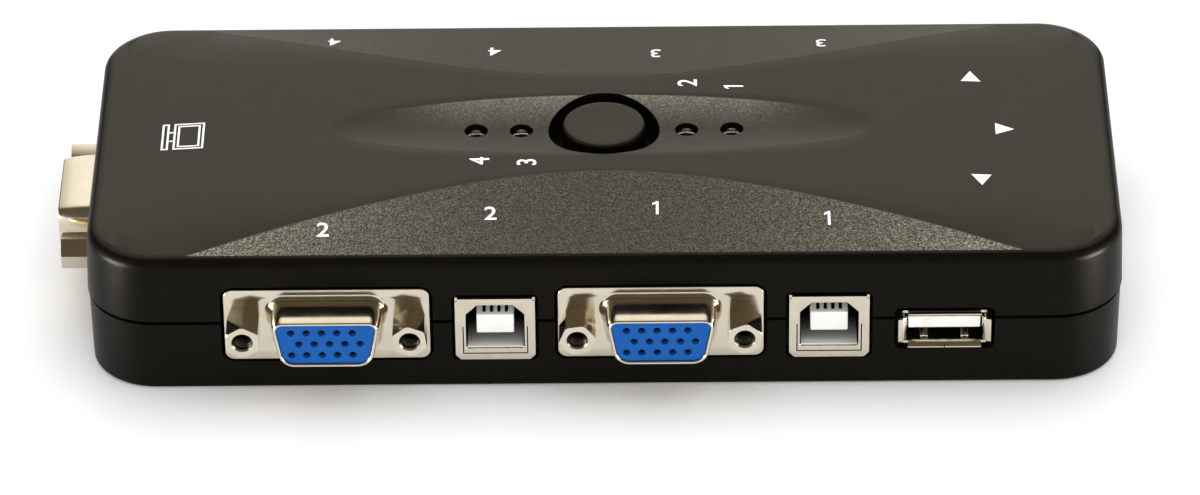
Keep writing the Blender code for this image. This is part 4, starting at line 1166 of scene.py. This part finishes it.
        # The bore's faces and the thread take dark steel: painted shade in the hole.
        for face in head.polygons:
            face.material_index = 1 if face.center.xy.length < bore else 0
        root, crest = bore * self.thread_root, bore * self.thread_crest
        low, pitch = self.thread_floor, s.jack_pitch
        ridge = [(root, low), (crest, low + pitch / 2), (root, low + pitch)]
        thread = turned(ridge, THREAD_SIDES, pitch, int((top - low - self.thread_clear) / pitch) - 1)
        return merged(head, painted(thread, 1))

    def execute(self, context):
        self.ready(context)
        shell, insert, jack = self.shell(*face_size(f"{VIDEO_SOCKETS[0]}_shell")), self.insert(), self.jack()
        nickel, dark, blue = self.chosen("nickel_plate", "painted_shade_steel", "blue_insert")
        turns = iter(self.jack_turns)
        for name in VIDEO_SOCKETS:
            node = f"{name}_shell"
            place = socket_place(node, self.sockets.shroud_reach)
            piece(f"{name}_pressed_shell", moved(shell, place), [nickel], "case", "nickel", node)
            node = f"{name}_insert"
            piece(f"{name}_moulded_insert", moved(insert, place), [blue, dark], "case", "blue_plastic", node)
            for label, side in (("left", -1), ("right", 1)):
                spot = place @ Matrix.Translation((side * self.sockets.jack_spacing / 2, 0, 0))
                spot = spot @ Matrix.Rotation(math.radians(next(turns)), 4, "Z")
                node = f"{name}_jack_{label}"
                piece(f"{name}_threaded_{label}", moved(jack, spot), [nickel, dark], "case", "nickel", node)
        return {"FINISHED"}


class SWITCH_OT_square_sockets(Builder, bpy.types.Operator):
    """Make the four square data sockets: folded cans, linings, tongues and contacts"""

    bl_idname = "switch.square_sockets"
    bl_label = "Square Data Sockets"

    floor_steps, mouth_corner = 8, 0.0004
    # The tongue's width over that of a slot, a contact strip and the steps between them.
    slot_part, slot_step, strip_part, strip_step = 12, 5, 7, 2

    def mouth(self, grow):
        """The mouth's outline, with its upper corners cut off."""
        s = self.sockets
        half = s.mouth_width / 2
        low, high = s.mouth_rise - s.mouth_height / 2, s.mouth_rise + s.mouth_height / 2
        shoulder = half - s.mouth_chamfer
        corners = [
            (-half, low), (half, low), (half, high - s.mouth_chamfer),
            (shoulder, high), (-shoulder, high), (-half, high - s.mouth_chamfer),
        ]
        return rounded(corners, self.mouth_corner, grow, SHEET_STEPS)

    def slit(self):
        """A narrow U that parts the mouth's inner lip from the face."""
        s = self.sockets
        side, foot = s.mouth_width / 2 + s.lip_band, s.mouth_rise - s.mouth_height / 2 - 2 * s.lip_band
        inner, crest = side - s.lip_slit, s.mouth_rise
        return [
            (-side, crest), (-side, foot), (side, foot), (side, crest),
            (inner, crest), (inner, foot + s.lip_slit), (-inner, foot + s.lip_slit), (-inner, crest),
        ]

    def shell(self, width, height):
        """Can with chamfered lower corners, a slit face, a folded lid and two ears."""
        s = self.sockets
        x, y, cut = width / 2, height / 2, s.can_chamfer
        corners = [(cut - x, -y), (x - cut, -y), (x, cut - y), (x, y), (-x, y), (-x, cut - y)]
        outer, inner = (rounded(corners, s.can_wall, -inset, SHEET_STEPS) for inset in (0.0, s.can_wall))
        face = plate([outer, self.mouth(0.0), self.slit()], -s.can_wall, 0.0, s.soft_edge)
        can = plate([outer, inner], -s.can_depth, -s.can_wall / 2)
        ears = []
        for side in (-1, 1):
            ear = block(s.can_wall, 2 * s.can_wall, -s.can_wall, 0.0, (side * (x - s.can_wall / 2), y))
            ears.append(bevelled(ear, s.soft_edge))
        lid = block(width - 2 * s.can_wall, s.can_wall, -s.can_depth, s.soft_edge, (0, y - s.can_wall / 4))
        return merged(face, can, bevelled(lid, s.soft_edge), *ears)

    def body(self):
        """Walls of the mouth in painted shade, its pale floor darkened inwards by painted shade, and the
        white tongue with its contacts.
        """
        s = self.sockets
        back, front = -s.mouth_depth, -s.can_wall
        walls = plate([self.mouth(s.can_wall), self.mouth(0.0)], back, front)
        bottom = plate([self.mouth(s.can_wall)], back - s.can_wall, back)
        floor_y = s.mouth_rise - s.mouth_height / 2 + s.soft_edge
        strip = rectangle(s.mouth_width - s.can_wall, 2 * s.soft_edge, (0.0, floor_y))
        floor = loft([(strip, back + (front - back) * share) for share in shares(self.floor_steps)])
        # Painted shade: the floor's shade value falls from 1 at the front to 0 at the back.
        shade = floor.attributes.new("shade", "FLOAT", "POINT")
        shade.data.foreach_set("value", [(v.co.z - back) / (front - back) for v in floor.vertices])
        width, height = s.square_tongue_width, s.square_tongue_height
        tongue_front, contact_front = -2 * s.can_wall, -4 * s.can_wall
        tongue = block(width, height, back, tongue_front, (0.0, s.mouth_rise))
        tongue = bevelled(tongue, 3 * s.soft_edge, 3)
        # Near-black strips on the tongue's top: painted shadow in its contact slots.
        slot = block(width / self.slot_part, s.can_wall / 2, back, contact_front)
        slots = self.copies(slot, "painted_shade_hollow", columns=4, column_step=width / self.slot_step)
        slots.transform(Matrix.Translation((0, s.mouth_rise + height / 2, 0)))
        strip = block(width / self.strip_part, s.can_wall / 3, back, contact_front)
        strip = bevelled(strip, s.soft_edge / 2)
        strips = self.copies(strip, "contact_brass", columns=2, column_step=width / self.strip_step)
        strips.transform(Matrix.Translation((0, s.mouth_rise - height / 2, 0)))
        parts = (tongue, floor, walls, bottom, slots, strips)
        return merged(*(painted(part, slot) for part, slot in zip(parts, (0, 1, 2, 2, 2, 3))))

    def execute(self, context):
        self.ready(context)
        shell, body = self.shell(*face_size(f"{SQUARE_SOCKETS[0]}_shell")), self.body()
        nickel = self.chosen("nickel_plate")
        inside = self.chosen("white_insulator", "grey_insulator_painted_shade", "painted_shade_hollow", "contact_brass")
        for name in SQUARE_SOCKETS:
            place = socket_place(f"{name}_shell")
            piece(f"{name}_folded_can", moved(shell, place), nickel, "case", "nickel", f"{name}_shell")
            piece(f"{name}_tongue", moved(body, place), inside, "case", "white_plastic", f"{name}_body")
        return {"FINISHED"}


class SWITCH_OT_flat_sockets(Builder, bpy.types.Operator):
    """Make the three flat data sockets: tubes with flared lips and springs, tongues and contacts"""

    bl_idname = "switch.flat_sockets"
    bl_label = "Flat Data Sockets"

    tab_taper, flare_steps, contacts = 0.7, 6, 4

    def lip(self, span, flare):
        """One lip, flared out of its wall: its root lies on X and it flares towards +Y."""
        s = self.sockets
        skin = bmesh.new()
        rows = []
        for sine, out in quarter_steps(self.flare_steps):
            spot = flare * out, -s.flare_length * (1 - sine)
            rows.append([skin.verts.new((side * span / 2, *spot)) for side in (-1, 1)])
        for low, high in zip(rows, rows[1:]):
            skin.faces.new((low[0], low[1], high[1], high[0]))
        item = link("lip", mesh_of(skin, "lip"))
        sheet = item.modifiers.new("sheet", "SOLIDIFY")
        sheet.thickness = s.can_wall
        sheet.offset = 1.0
        edge = item.modifiers.new("edge", "BEVEL")
        edge.width = s.can_wall / 4
        edge.segments = 2
        return settled(item)

    def tab(self):
        """A sprung tab: a leaf with a bent end that has a window in it."""
        s = self.sockets
        half, foot = s.tab_width / 2, s.tab_height / 2
        narrow = half * self.tab_taper
        corners = [(-narrow, -foot), (narrow, -foot), (half, foot), (-half, foot)]
        rim, window = (rounded(corners, s.soft_edge, -inset, FINE_STEPS) for inset in (0.0, s.tab_rim))
        end = plate([rim, window], -s.can_wall, 0.0, s.soft_edge / 2)
        leaf = bevelled(block(s.tab_width, s.can_wall, -s.tab_length, 0.0), s.soft_edge)
        lean = Matrix.Rotation(s.tab_lean, 4, "X")
        leaf.transform(Matrix.Translation((0, foot - s.can_wall, -s.can_wall)) @ lean)
        return merged(end, leaf)

    def shell(self, width, height):
        """Folded tube with four lips, a seam below and two sprung tabs in its floor."""
        s = self.sockets
        outer, inner = (rounded(rectangle(width, height), s.can_wall, -inset) for inset in (0.0, s.can_wall))
        tube = plate([outer, inner], -s.flat_depth, -s.flare_length)
        seam = block(s.lip_slit, 2 * s.can_wall, -s.flat_depth - CUT_OVER, CUT_OVER, (0, -height / 2))
        tube = combined(tube, [seam], "DIFFERENCE")
        lips = []
        sides = (width, height, s.flare), (height, width, s.side_flare)
        for turn, (span, reach, flare) in enumerate(2 * sides):
            lip = self.lip(span - 2 * s.flare_notch, flare)
            spin = Matrix.Rotation(math.pi / 2 * turn, 4, "Z")
            lips.append(moved(lip, spin @ Matrix.Translation((0, reach / 2 - s.can_wall, 0))))
        lips[2] = combined(lips[2], [seam], "DIFFERENCE")
        tabs = self.copies(self.tab(), "nickel_plate", columns=2, column_step=s.tab_spacing)
        tabs.transform(Matrix.Translation((0, s.tab_rise - height / 2, -s.flare_length)))
        return merged(tube, *lips, tabs)

    def body(self, width, height):
        """Tongue with its contacts, and the inside of the tube in painted shade."""
        s = self.sockets
        back, front = -s.flat_depth, -s.flare_length - s.flare / 2
        outline = rectangle(width - 2 * s.can_wall, height - 2 * s.can_wall)
        inner = rounded(outline, s.soft_edge, -2 * s.soft_edge, FINE_STEPS)
        # The liner and the bottom take near-black plastic: painted shade inside the tube.
        liner = plate([outline, inner], back, front)
        bottom = plate([outline], back - s.can_wall, back)
        tongue = block(s.flat_tongue_width, s.flat_tongue_height, back, front, (0.0, s.flat_tongue_rise))
        tongue = bevelled(tongue, 3 * s.soft_edge, 3)
        strip = bevelled(block(s.tab_width, s.can_wall / 3, back, 2 * front), s.soft_edge / 2)
        pitch = s.flat_tongue_width / (self.contacts + 1)
        strips = self.copies(strip, "contact_brass", columns=self.contacts, column_step=pitch)
        strips.transform(Matrix.Translation((0, s.flat_tongue_rise - s.flat_tongue_height / 2, 0)))
        parts = (tongue, liner, bottom, strips)
        return merged(*(painted(part, slot) for part, slot in zip(parts, (0, 1, 1, 2))))

    def execute(self, context):
        self.ready(context)
        width, height = face_size(f"{FLAT_SOCKETS[0]}_shell")
        flare, drop = 2 * self.sockets.flare, self.sockets.flat_drop
        size = width - flare, height - flare + drop
        shell, body = self.shell(*size), self.body(*size)
        nickel = self.chosen("nickel_plate")
        inside = self.chosen("white_insulator", "painted_shade_hollow", "contact_brass")
        for name in FLAT_SOCKETS:
            place = socket_place(f"{name}_shell") @ Matrix.Translation((0, -drop / 2, 0))
            piece(f"{name}_flared_tube", moved(shell, place), nickel, "case", "nickel", f"{name}_shell")
            piece(f"{name}_tongue", moved(body, place), inside, "case", "white_plastic", f"{name}_body")
        return {"FINISHED"}


class SWITCH_OT_button(Builder, bpy.types.Operator):
    """Make the round button"""

    bl_idname = "switch.button"
    bl_label = "Button"

    edge_steps = 6
    # The cap's face is dished: drops at its middle and at a share of its radius.
    middle_drop, dish_share, dish_drop = 0.00008, 0.7, 0.00005

    def execute(self, context):
        self.ready(context)
        case = self.case
        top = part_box("button_cap")[1].z
        edge = case.cap_edge
        radius, inner = case.cap_radius, case.cap_radius - case.wall
        profile = [(0.0, top - self.middle_drop), (radius * self.dish_share, top - self.dish_drop)]
        for sine, drop in quarter_steps(self.edge_steps):
            profile.append((radius - edge * (1 - sine), top - edge * drop))
        foot, ceiling = top - case.cap_skirt, top - case.wall
        cap = turned([*profile, (radius, foot), (inner, foot), (inner, ceiling), (0.0, ceiling)], WELL_SIDES)
        # The skirt and the steeper part of the edge take the darker wall plastic: painted shade.
        self.paint_level(cap, 0, 1)
        looks = self.chosen("button_satin", "case_wall_painted_shade")
        piece("button_disc", cap, looks, "button", "button_plastic", "button_cap")
        return {"FINISHED"}


class SWITCH_OT_lamps(Builder, bpy.types.Operator):
    """Make the four clear lamps with the cup, chip and lead frame inside each"""

    bl_idname = "switch.lamps"
    bl_label = "Lamps"

    # Heights run down from the dome's crest.
    body_foot, flange_height, flange_share = -0.0052, 0.0010, 1.26
    cup_floor, cup_mouth, cup_brim = (0.0004, -0.0026), (0.00092, -0.0017), (0.00102, -0.0017)
    cup_foot = (0.0006, -0.0034)
    chip_side, chip_top = 0.00030, -0.0022
    lead_side, lead_half_pitch = 0.0005, 0.00127
    post_place, post_top = (0.00112, 0.0), -0.0021
    metal_edge = 0.00008
    dome_steps, cup_sides = 8, 24

    def body(self, radius):
        """Domed clear body with a flange at its foot."""
        foot, flange = self.body_foot, radius * self.flange_share
        turns = [math.pi / 2 * (1 - share) for share in shares(self.dome_steps)]
        dome = [(radius * math.cos(turn), radius * (math.sin(turn) - 1)) for turn in turns]
        step = foot + self.flange_height
        return turned([*dome, (radius, step), (flange, step), (flange, foot), (0.0, foot)], LAMP_SIDES)

    def lead_frame(self, reach):
        """Lead frame: cup with its chip and stem, post and two leads."""
        side, foot = self.lead_side, self.body_foot
        floor, base = self.cup_floor[1], self.cup_foot[1]
        profile = [(0.0, floor), self.cup_floor, self.cup_mouth, self.cup_brim, self.cup_foot, (0.0, base)]
        cup = turned(profile, self.cup_sides)
        # The cup's hollow takes near-black plastic: painted shade inside the reflector; the rest of the cup
        # is bright steel.
        for face in cup.polygons:
            hollow = face.normal.z > 0 and face.center.xy.length < self.cup_mouth[0]
            face.material_index = 2 if hollow else 1
        chip = block(self.chip_side, self.chip_side, floor, self.chip_top)
        stem = block(side, side, foot, base)
        post = block(side, side, foot, self.post_top, self.post_place)
        bars = [bevelled(bar, self.metal_edge) for bar in (chip, stem, post)]
        leads = [block(side, side, reach, foot, (half * self.lead_half_pitch, 0.0)) for half in (-1, 1)]
        return merged(cup, painted(merged(*bars, *leads), 1))

    def execute(self, context):
        self.ready(context)
        looks = self.chosen("clear_lens", "bright_steel", "painted_shade_hollow")
        body = painted(self.body(self.case.lamp_radius), 0)
        for name in LAMPS:
            low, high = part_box(name)
            crest = Vector((*plan_centre(name), high.z))
            lamp = merged(body, self.lead_frame(low.z - high.z))
            piece(f"{name}_clear", moved(lamp, Matrix.Translation(crest)), looks, "case", "lens", name)
        return {"FINISHED"}


class SWITCH_OT_screws(Builder, bpy.types.Operator):
    """Make the four cross-head screws in the underside"""

    bl_idname = "switch.screws"
    bl_label = "Case Screws"

    shank_share, head_height = 0.54, 0.0015
    flat_share, round_share, round_height, round_steps = 0.72, 0.28, 0.0005, 4
    cross_length, cross_width, cross_depth = 0.0034, 0.0007, 0.0009

    def screw(self, radius, foot, tip):
        """A screw on Z with its head at the foot and a cross in it."""
        shank, head = radius * self.shank_share, foot + self.head_height
        profile = [(0.0, tip), (shank, tip - shank), (shank, head), (radius, head)]
        for sine, drop in quarter_steps(self.round_steps):
            reach = self.flat_share + self.round_share * (1 - drop)
            profile.append((radius * reach, foot + self.round_height * (1 - sine)))
        profile.append((0.0, foot))
        sizes = (self.cross_length, self.cross_width), (self.cross_width, self.cross_length)
        cross = [block(*size, foot - CUT_OVER, foot + self.cross_depth) for size in sizes]
        return combined(turned(profile, SCREW_SIDES), cross, "DIFFERENCE")

    def execute(self, context):
        self.ready(context)
        low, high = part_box(CASE_SCREWS[0])
        screw = self.screw((high.x - low.x) / 2, low.z, high.z)
        xs, ys = zip(*(plan_centre(name) for name in CASE_SCREWS))
        steps = {"column_step": max(xs) - min(xs), "row_step": max(ys) - min(ys)}
        screws = self.copies(screw, "bright_steel", columns=2, rows=2, **steps)
        piece("cross_head_screws", screws, self.chosen("bright_steel"), "case", "steel", *CASE_SCREWS)
        return {"FINISHED"}


class SWITCH_OT_marks(Builder, bpy.types.Operator):
    """Print the port numbers, the arrows and the screen sign on the top"""

    bl_idname = "switch.marks"
    bl_label = "Marks"

    ink_lift = 0.00003
    # Each numeral with its place. The rear ports' places mirror the front ones.
    port_numbers = (
        ("2", -0.0420, 0.0261), ("2", -0.0170, 0.0225), ("1", 0.0080, 0.0215), ("1", 0.0337, 0.02435),
    )
    rear_numbers = {"2": "4", "1": "3"}
    lamp_numbers = (
        ("4", -0.01885, -0.0099), ("3", -0.0117, -0.0105), ("2", 0.0128, 0.0113), ("1", 0.0199, 0.0104),
    )
    one = (
        (-0.07, -0.5), (0.07, -0.5), (0.07, 0.5), (-0.05, 0.5), (-0.25, 0.36), (-0.25, 0.21), (-0.07, 0.32),
    )
    port_height, lamp_height, numeral_weight, numeral_steps = 0.0029, 0.0030, 0.012, 6
    arrow_height, arrow_half_width = 0.0029, 0.00155
    arrows = ((0.0565, 0.0131, 0.0), (0.0570, -0.0128, 180.0), (0.0597, 0.0, -90.0))
    sign_centre, sign_half_depth, sign_stroke = -0.0634, 0.00355, 0.00032
    screen_width, screen_gap = 0.0047, 0.00062
    # The neck's two lines lie a part of the sign's depth to either side of its middle.
    neck_length, neck_part, base_width, base_drop = 0.0008, 6, 0.0011, 0.00125

    def numeral(self, text, height):
        """A centred numeral of a given height. The plain font's 1 is only a bar, so it is drawn."""
        if text == "1":
            return self.flat([(x * height, y * height) for x, y in self.one])
        curve = bpy.data.curves.new("numeral", "FONT")
        curve.body = text
        curve.resolution_u = self.numeral_steps
        curve.offset = self.numeral_weight
        mesh = settled(link("numeral", curve))
        xs, ys = [v.co.x for v in mesh.vertices], [v.co.y for v in mesh.vertices]
        scale = height / (max(ys) - min(ys))
        centre = Vector(((min(xs) + max(xs)) / 2, (min(ys) + max(ys)) / 2, 0))
        mesh.transform(Matrix.Scale(scale, 4) @ Matrix.Translation(-centre))
        return mesh

    def flat(self, *outlines):
        """A flat mesh of an outline with holes."""
        return settled(link("sign", outline_curve(outlines, "FRONT")))

    def drawn_box(self, width, height, centre=(0.0, 0.0)):
        """A rectangle drawn in one stroke."""
        strokes = 2 * self.sign_stroke
        hole = rectangle(width - strokes, height - strokes, centre)
        return self.flat(rectangle(width, height, centre), hole)

    def laid(self, mesh, x, y, degrees=0.0):
        """The mesh turned, moved and laid on the top."""
        mesh.transform(Matrix.Translation((x, y, 0)) @ Matrix.Rotation(math.radians(degrees), 4, "Z"))
        for vert in mesh.vertices:
            vert.co.z = self.shape.height(vert.co.x, vert.co.y) + self.ink_lift
        mesh.update()
        for face in mesh.polygons:
            if face.normal.z < 0:
                face.flip()
        return mesh

    def screen_sign(self):
        """A plain sign of a screen on its stand, read from the left end."""
        depth, width, gaps = 2 * self.sign_half_depth, self.screen_width, 2 * self.screen_gap
        parts = [self.drawn_box(width, depth), self.drawn_box(width - gaps, depth - gaps)]
        neck_x = -width / 2 - self.neck_length / 2
        for neck_y in (depth / self.neck_part, -depth / self.neck_part):
            parts.append(self.flat(rectangle(self.neck_length, self.sign_stroke, (neck_x, neck_y))))
        parts.append(self.drawn_box(self.base_width, depth, (-width / 2 - self.base_drop, 0.0)))
        return merged(*parts)

    def execute(self, context):
        self.ready(context)
        marks = []
        for text, x, y in self.port_numbers:
            marks.append(self.laid(self.numeral(text, self.port_height), x, -y))
            marks.append(self.laid(self.numeral(self.rear_numbers[text], self.port_height), x, y, 180.0))
        for text, x, y in self.lamp_numbers:
            marks.append(self.laid(self.numeral(text, self.lamp_height), x, y, 90.0))
        half = self.arrow_half_width
        for x, y, degrees in self.arrows:
            arrow = self.flat([(-half, 0.0), (half, 0.0), (0.0, self.arrow_height)])
            marks.append(self.laid(arrow, x, y, degrees))
        marks.append(self.laid(self.screen_sign(), self.sign_centre, 0.0))
        piece("printed_marks", merged(*marks), self.chosen("white_ink"), "case", "white_plastic")
        return {"FINISHED"}


class SWITCH_OT_inner_parts(Builder, bpy.types.Operator):
    """Give the board and the parts on it their materials, and make the switch's snap dome"""

    bl_idname = "switch.inner_parts"
    bl_label = "Inner Parts"

    looks_of = {
        "main_board": "board_resist",
        "control_chip": "black_chip",
        "video_chip": "black_chip",
        "data_chip": "black_chip",
        "crystal": "bright_steel",
        "supply_capacitor": "black_chip",
        "switch_base": "black_chip",
        "switch_plate": "bright_steel",
        "switch_plunger": "white_insulator",
    }
    dome_steps, dome_sides, dome_sheet = 12, 48, 0.0001

    def dome(self):
        """A thin sprung dome in its resting shape; the real one flattens as the plunger comes down on it."""
        low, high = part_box("switch_dome")
        height = high.z - low.z
        radius, rise = (high.x - low.x) / 2, height - self.dome_sheet
        upper = [(radius * share, height - rise * share ** 2) for share in shares(self.dome_steps)]
        lower = [(x, z - self.dome_sheet) for x, z in reversed(upper)]
        foot = Vector((*plan_centre("switch_dome"), low.z))
        dome = moved(turned(upper + lower, self.dome_sides), Matrix.Translation(foot))
        item = piece("sprung_dome", dome, self.chosen("bright_steel"), "case", "steel", "switch_dome")
        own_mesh(item)

    def execute(self, context):
        self.ready(context)
        for node, look in self.looks_of.items():
            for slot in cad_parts[node].material_slots:
                slot.material = self.looks[look]
        self.dome()
        return {"FINISHED"}


class SWITCH_OT_stage(Builder, bpy.types.Operator):
    """Make the floor, the lights, the white surroundings and the camera"""

    bl_idname = "switch.stage"
    bl_label = "Stage"

    camera_target = Vector((-0.00083, 0.0, 0.00281))
    camera_distance = 1.0608
    camera_turn, camera_height, camera_roll = math.radians(0.459), math.radians(34.196), math.radians(-0.716)
    image_width, focal_pixels = 1200, 6872.4
    sensor_width = 36.0
    floor_size, floor_drop = 3.0, 0.00005
    floor_bounce, floor_gloss = (0.12, 0.12, 0.12, 1.0), (0.66, 0.66, 0.66, 1.0)

    # The room that gloss sees is bright behind the switch, and dark in front of it and beside it.
    back_range, side_range = (0.10, 0.50), (0.55, 0.20)
    dark_wall, bright_wall = (0.10, 0.08, 0.055, 1.0), (1.19, 1.15, 1.06, 1.0)
    room_grey, white = (0.58, 0.58, 0.58, 1.0), (1.0, 1.0, 1.0, 1.0)

    # Lights: name, place, size, power, and whether they are seen in gloss only.
    lights = (
        ("overhead", (0.15, 0.22, 0.95), (1.8, 1.3), 12.5, False),
        ("front", (-0.15, -1.27, 0.29), (1.2, 0.35), 14.0, False),
        ("left", (-0.88, -0.12, 0.20), (0.50, 0.40), 0.8, True),
        ("left_corner", (-0.165, -0.075, 0.0125), (0.05, 0.018), 0.3, True),
        ("right", (0.88, -0.12, 0.20), (0.50, 0.40), 0.8, True),
        ("right_corner", (0.165, -0.075, 0.0125), (0.05, 0.018), 0.3, True),
    )

    def camera(self):
        """A camera at the photograph's angle."""
        data = bpy.data.cameras.new("camera")
        data.sensor_fit = "HORIZONTAL"
        data.sensor_width = self.sensor_width
        data.lens = self.sensor_width * self.focal_pixels / self.image_width
        item = link("camera", data)
        turn, height = self.camera_turn, self.camera_height
        level = math.cos(height)
        back = Vector((math.sin(turn) * level, -math.cos(turn) * level, math.sin(height)))
        spin = back.to_track_quat("Z", "Y").to_matrix().to_4x4() @ Matrix.Rotation(self.camera_roll, 4, "Z")
        item.matrix_world = Matrix.Translation(self.camera_target + back * self.camera_distance) @ spin
        bpy.context.scene.camera = item

    def light(self, name, spot, size, power, mirrored):
        """A soft rectangular light that points at the switch, seen in gloss only or never seen in it."""
        data = bpy.data.lights.new(name, "AREA")
        data.shape = "RECTANGLE"
        data.size, data.size_y = size
        data.energy = power
        item = link(name, data)
        item.location = spot
        item.rotation_euler = Vector(spot).to_track_quat("Z", "Y").to_euler()
        item.visible_camera = False
        item.visible_glossy = mirrored
        item.visible_diffuse = not mirrored

    def floor(self):
        """A pale floor, dimmer as a source of light than to the camera, and clear from below."""
        plane = bmesh.new()
        bmesh.ops.create_grid(plane, x_segments=1, y_segments=1, size=self.floor_size)
        bmesh.ops.translate(plane, verts=plane.verts, vec=(0.0, 0.0, -self.floor_drop))
        item = link("floor", mesh_of(plane, "floor"))
        nodes, shader = new_material("pale_floor")
        path = nodes.add("ShaderNodeLightPath").outputs
        bounce = nodes.mix(path["Is Glossy Ray"], self.floor_bounce, self.floor_gloss)
        tone = nodes.mix(path["Is Camera Ray"], bounce, (*self.finish.floor, 1.0))
        nodes.fill(shader, {"Base Color": tone, "Roughness": 0.45, "Specular IOR Level": 0.3})
        below = nodes.add("ShaderNodeNewGeometry").outputs["Backfacing"]
        passed = path["Transparent Depth"]
        unseen = nodes.add("ShaderNodeMath", {0: below, 1: passed}, operation="ADD", use_clamp=True)
        clear = nodes.add("ShaderNodeBsdfTransparent").outputs[0]
        sides = nodes.add("ShaderNodeMixShader", {0: unseen.outputs[0], 1: shader.outputs[0], 2: clear})
        nodes.fill(nodes.tree.nodes["Material Output"], {"Surface": sides.outputs[0]})
        item.data.materials.append(bpy.data.materials["pale_floor"])

    def surroundings(self):
        """White to the camera, and a soft grey room to everything else."""
        world = bpy.data.worlds.new("surroundings")
        world.use_nodes = True
        nodes = Nodes(world.node_tree)
        background = world.node_tree.nodes["Background"]
        path = nodes.add("ShaderNodeLightPath").outputs
        way = nodes.add("ShaderNodeTexCoord").outputs["Generated"]
        aside, behind, _ = nodes.add("ShaderNodeSeparateXYZ", {0: way}).outputs
        back = nodes.ramp(behind, *self.back_range)
        middle = nodes.ramp(nodes.math("ABSOLUTE", aside), *self.side_range)
        walls = nodes.mix(nodes.math("MULTIPLY", back, middle), self.dark_wall, self.bright_wall)
        room = nodes.mix(path["Is Glossy Ray"], self.room_grey, walls)
        nodes.fill(background, {"Color": nodes.mix(path["Is Camera Ray"], room, self.white)})
        bpy.context.scene.world = world

    def execute(self, context):
        self.ready(context)
        self.camera()
        self.floor()
        self.surroundings()
        for light in self.lights:
            self.light(*light)
        context.scene.view_settings.view_transform = "Standard"
        return {"FINISHED"}


class SWITCH_PT_dressing(bpy.types.Panel):
    """Settings and steps of the dressing"""

    bl_idname = "SWITCH_PT_dressing"
    bl_label = "Computer Switch"
    bl_space_type = "VIEW_3D"
    bl_region_type = "UI"
    bl_category = "Switch"

    def draw(self, context):
        for owner in SETTINGS:
            settings = getattr(context.scene, owner)
            box = self.layout.box()
            for name in settings.bl_rna.properties.keys():
                if name not in {"rna_type", "name"}:
                    box.prop(settings, name)
        for operator in OPERATORS:
            self.layout.operator(operator.bl_idname)


SETTINGS = {"switch_case": SwitchCase, "switch_sockets": SwitchSockets, "switch_finish": SwitchFinish}
OPERATORS = (
    SWITCH_OT_finishes,
    SWITCH_OT_stage,
    SWITCH_OT_top_cover,
    SWITCH_OT_bottom_cover,
    SWITCH_OT_video_sockets,
    SWITCH_OT_square_sockets,
    SWITCH_OT_flat_sockets,
    SWITCH_OT_button,
    SWITCH_OT_lamps,
    SWITCH_OT_screws,
    SWITCH_OT_marks,
    SWITCH_OT_inner_parts,
)


def register():
    """Registers the settings, the operators and the panel."""
    for name, settings in SETTINGS.items():
        bpy.utils.register_class(settings)
        setattr(bpy.types.Scene, name, PointerProperty(type=settings))
    for operator in OPERATORS:
        bpy.utils.register_class(operator)
    bpy.utils.register_class(SWITCH_PT_dressing)


def unregister():
    """Removes what register added."""
    bpy.utils.unregister_class(SWITCH_PT_dressing)
    for operator in reversed(OPERATORS):
        bpy.utils.unregister_class(operator)
    for name, settings in SETTINGS.items():
        delattr(bpy.types.Scene, name)
        bpy.utils.unregister_class(settings)


def main():
    """Builds the dressed switch."""
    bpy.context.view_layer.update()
    register()
    for operator in OPERATORS:
        group_name, step = operator.bl_idname.split(".")
        getattr(getattr(bpy.ops, group_name), step)()


if __name__ == "__main__":
    main()
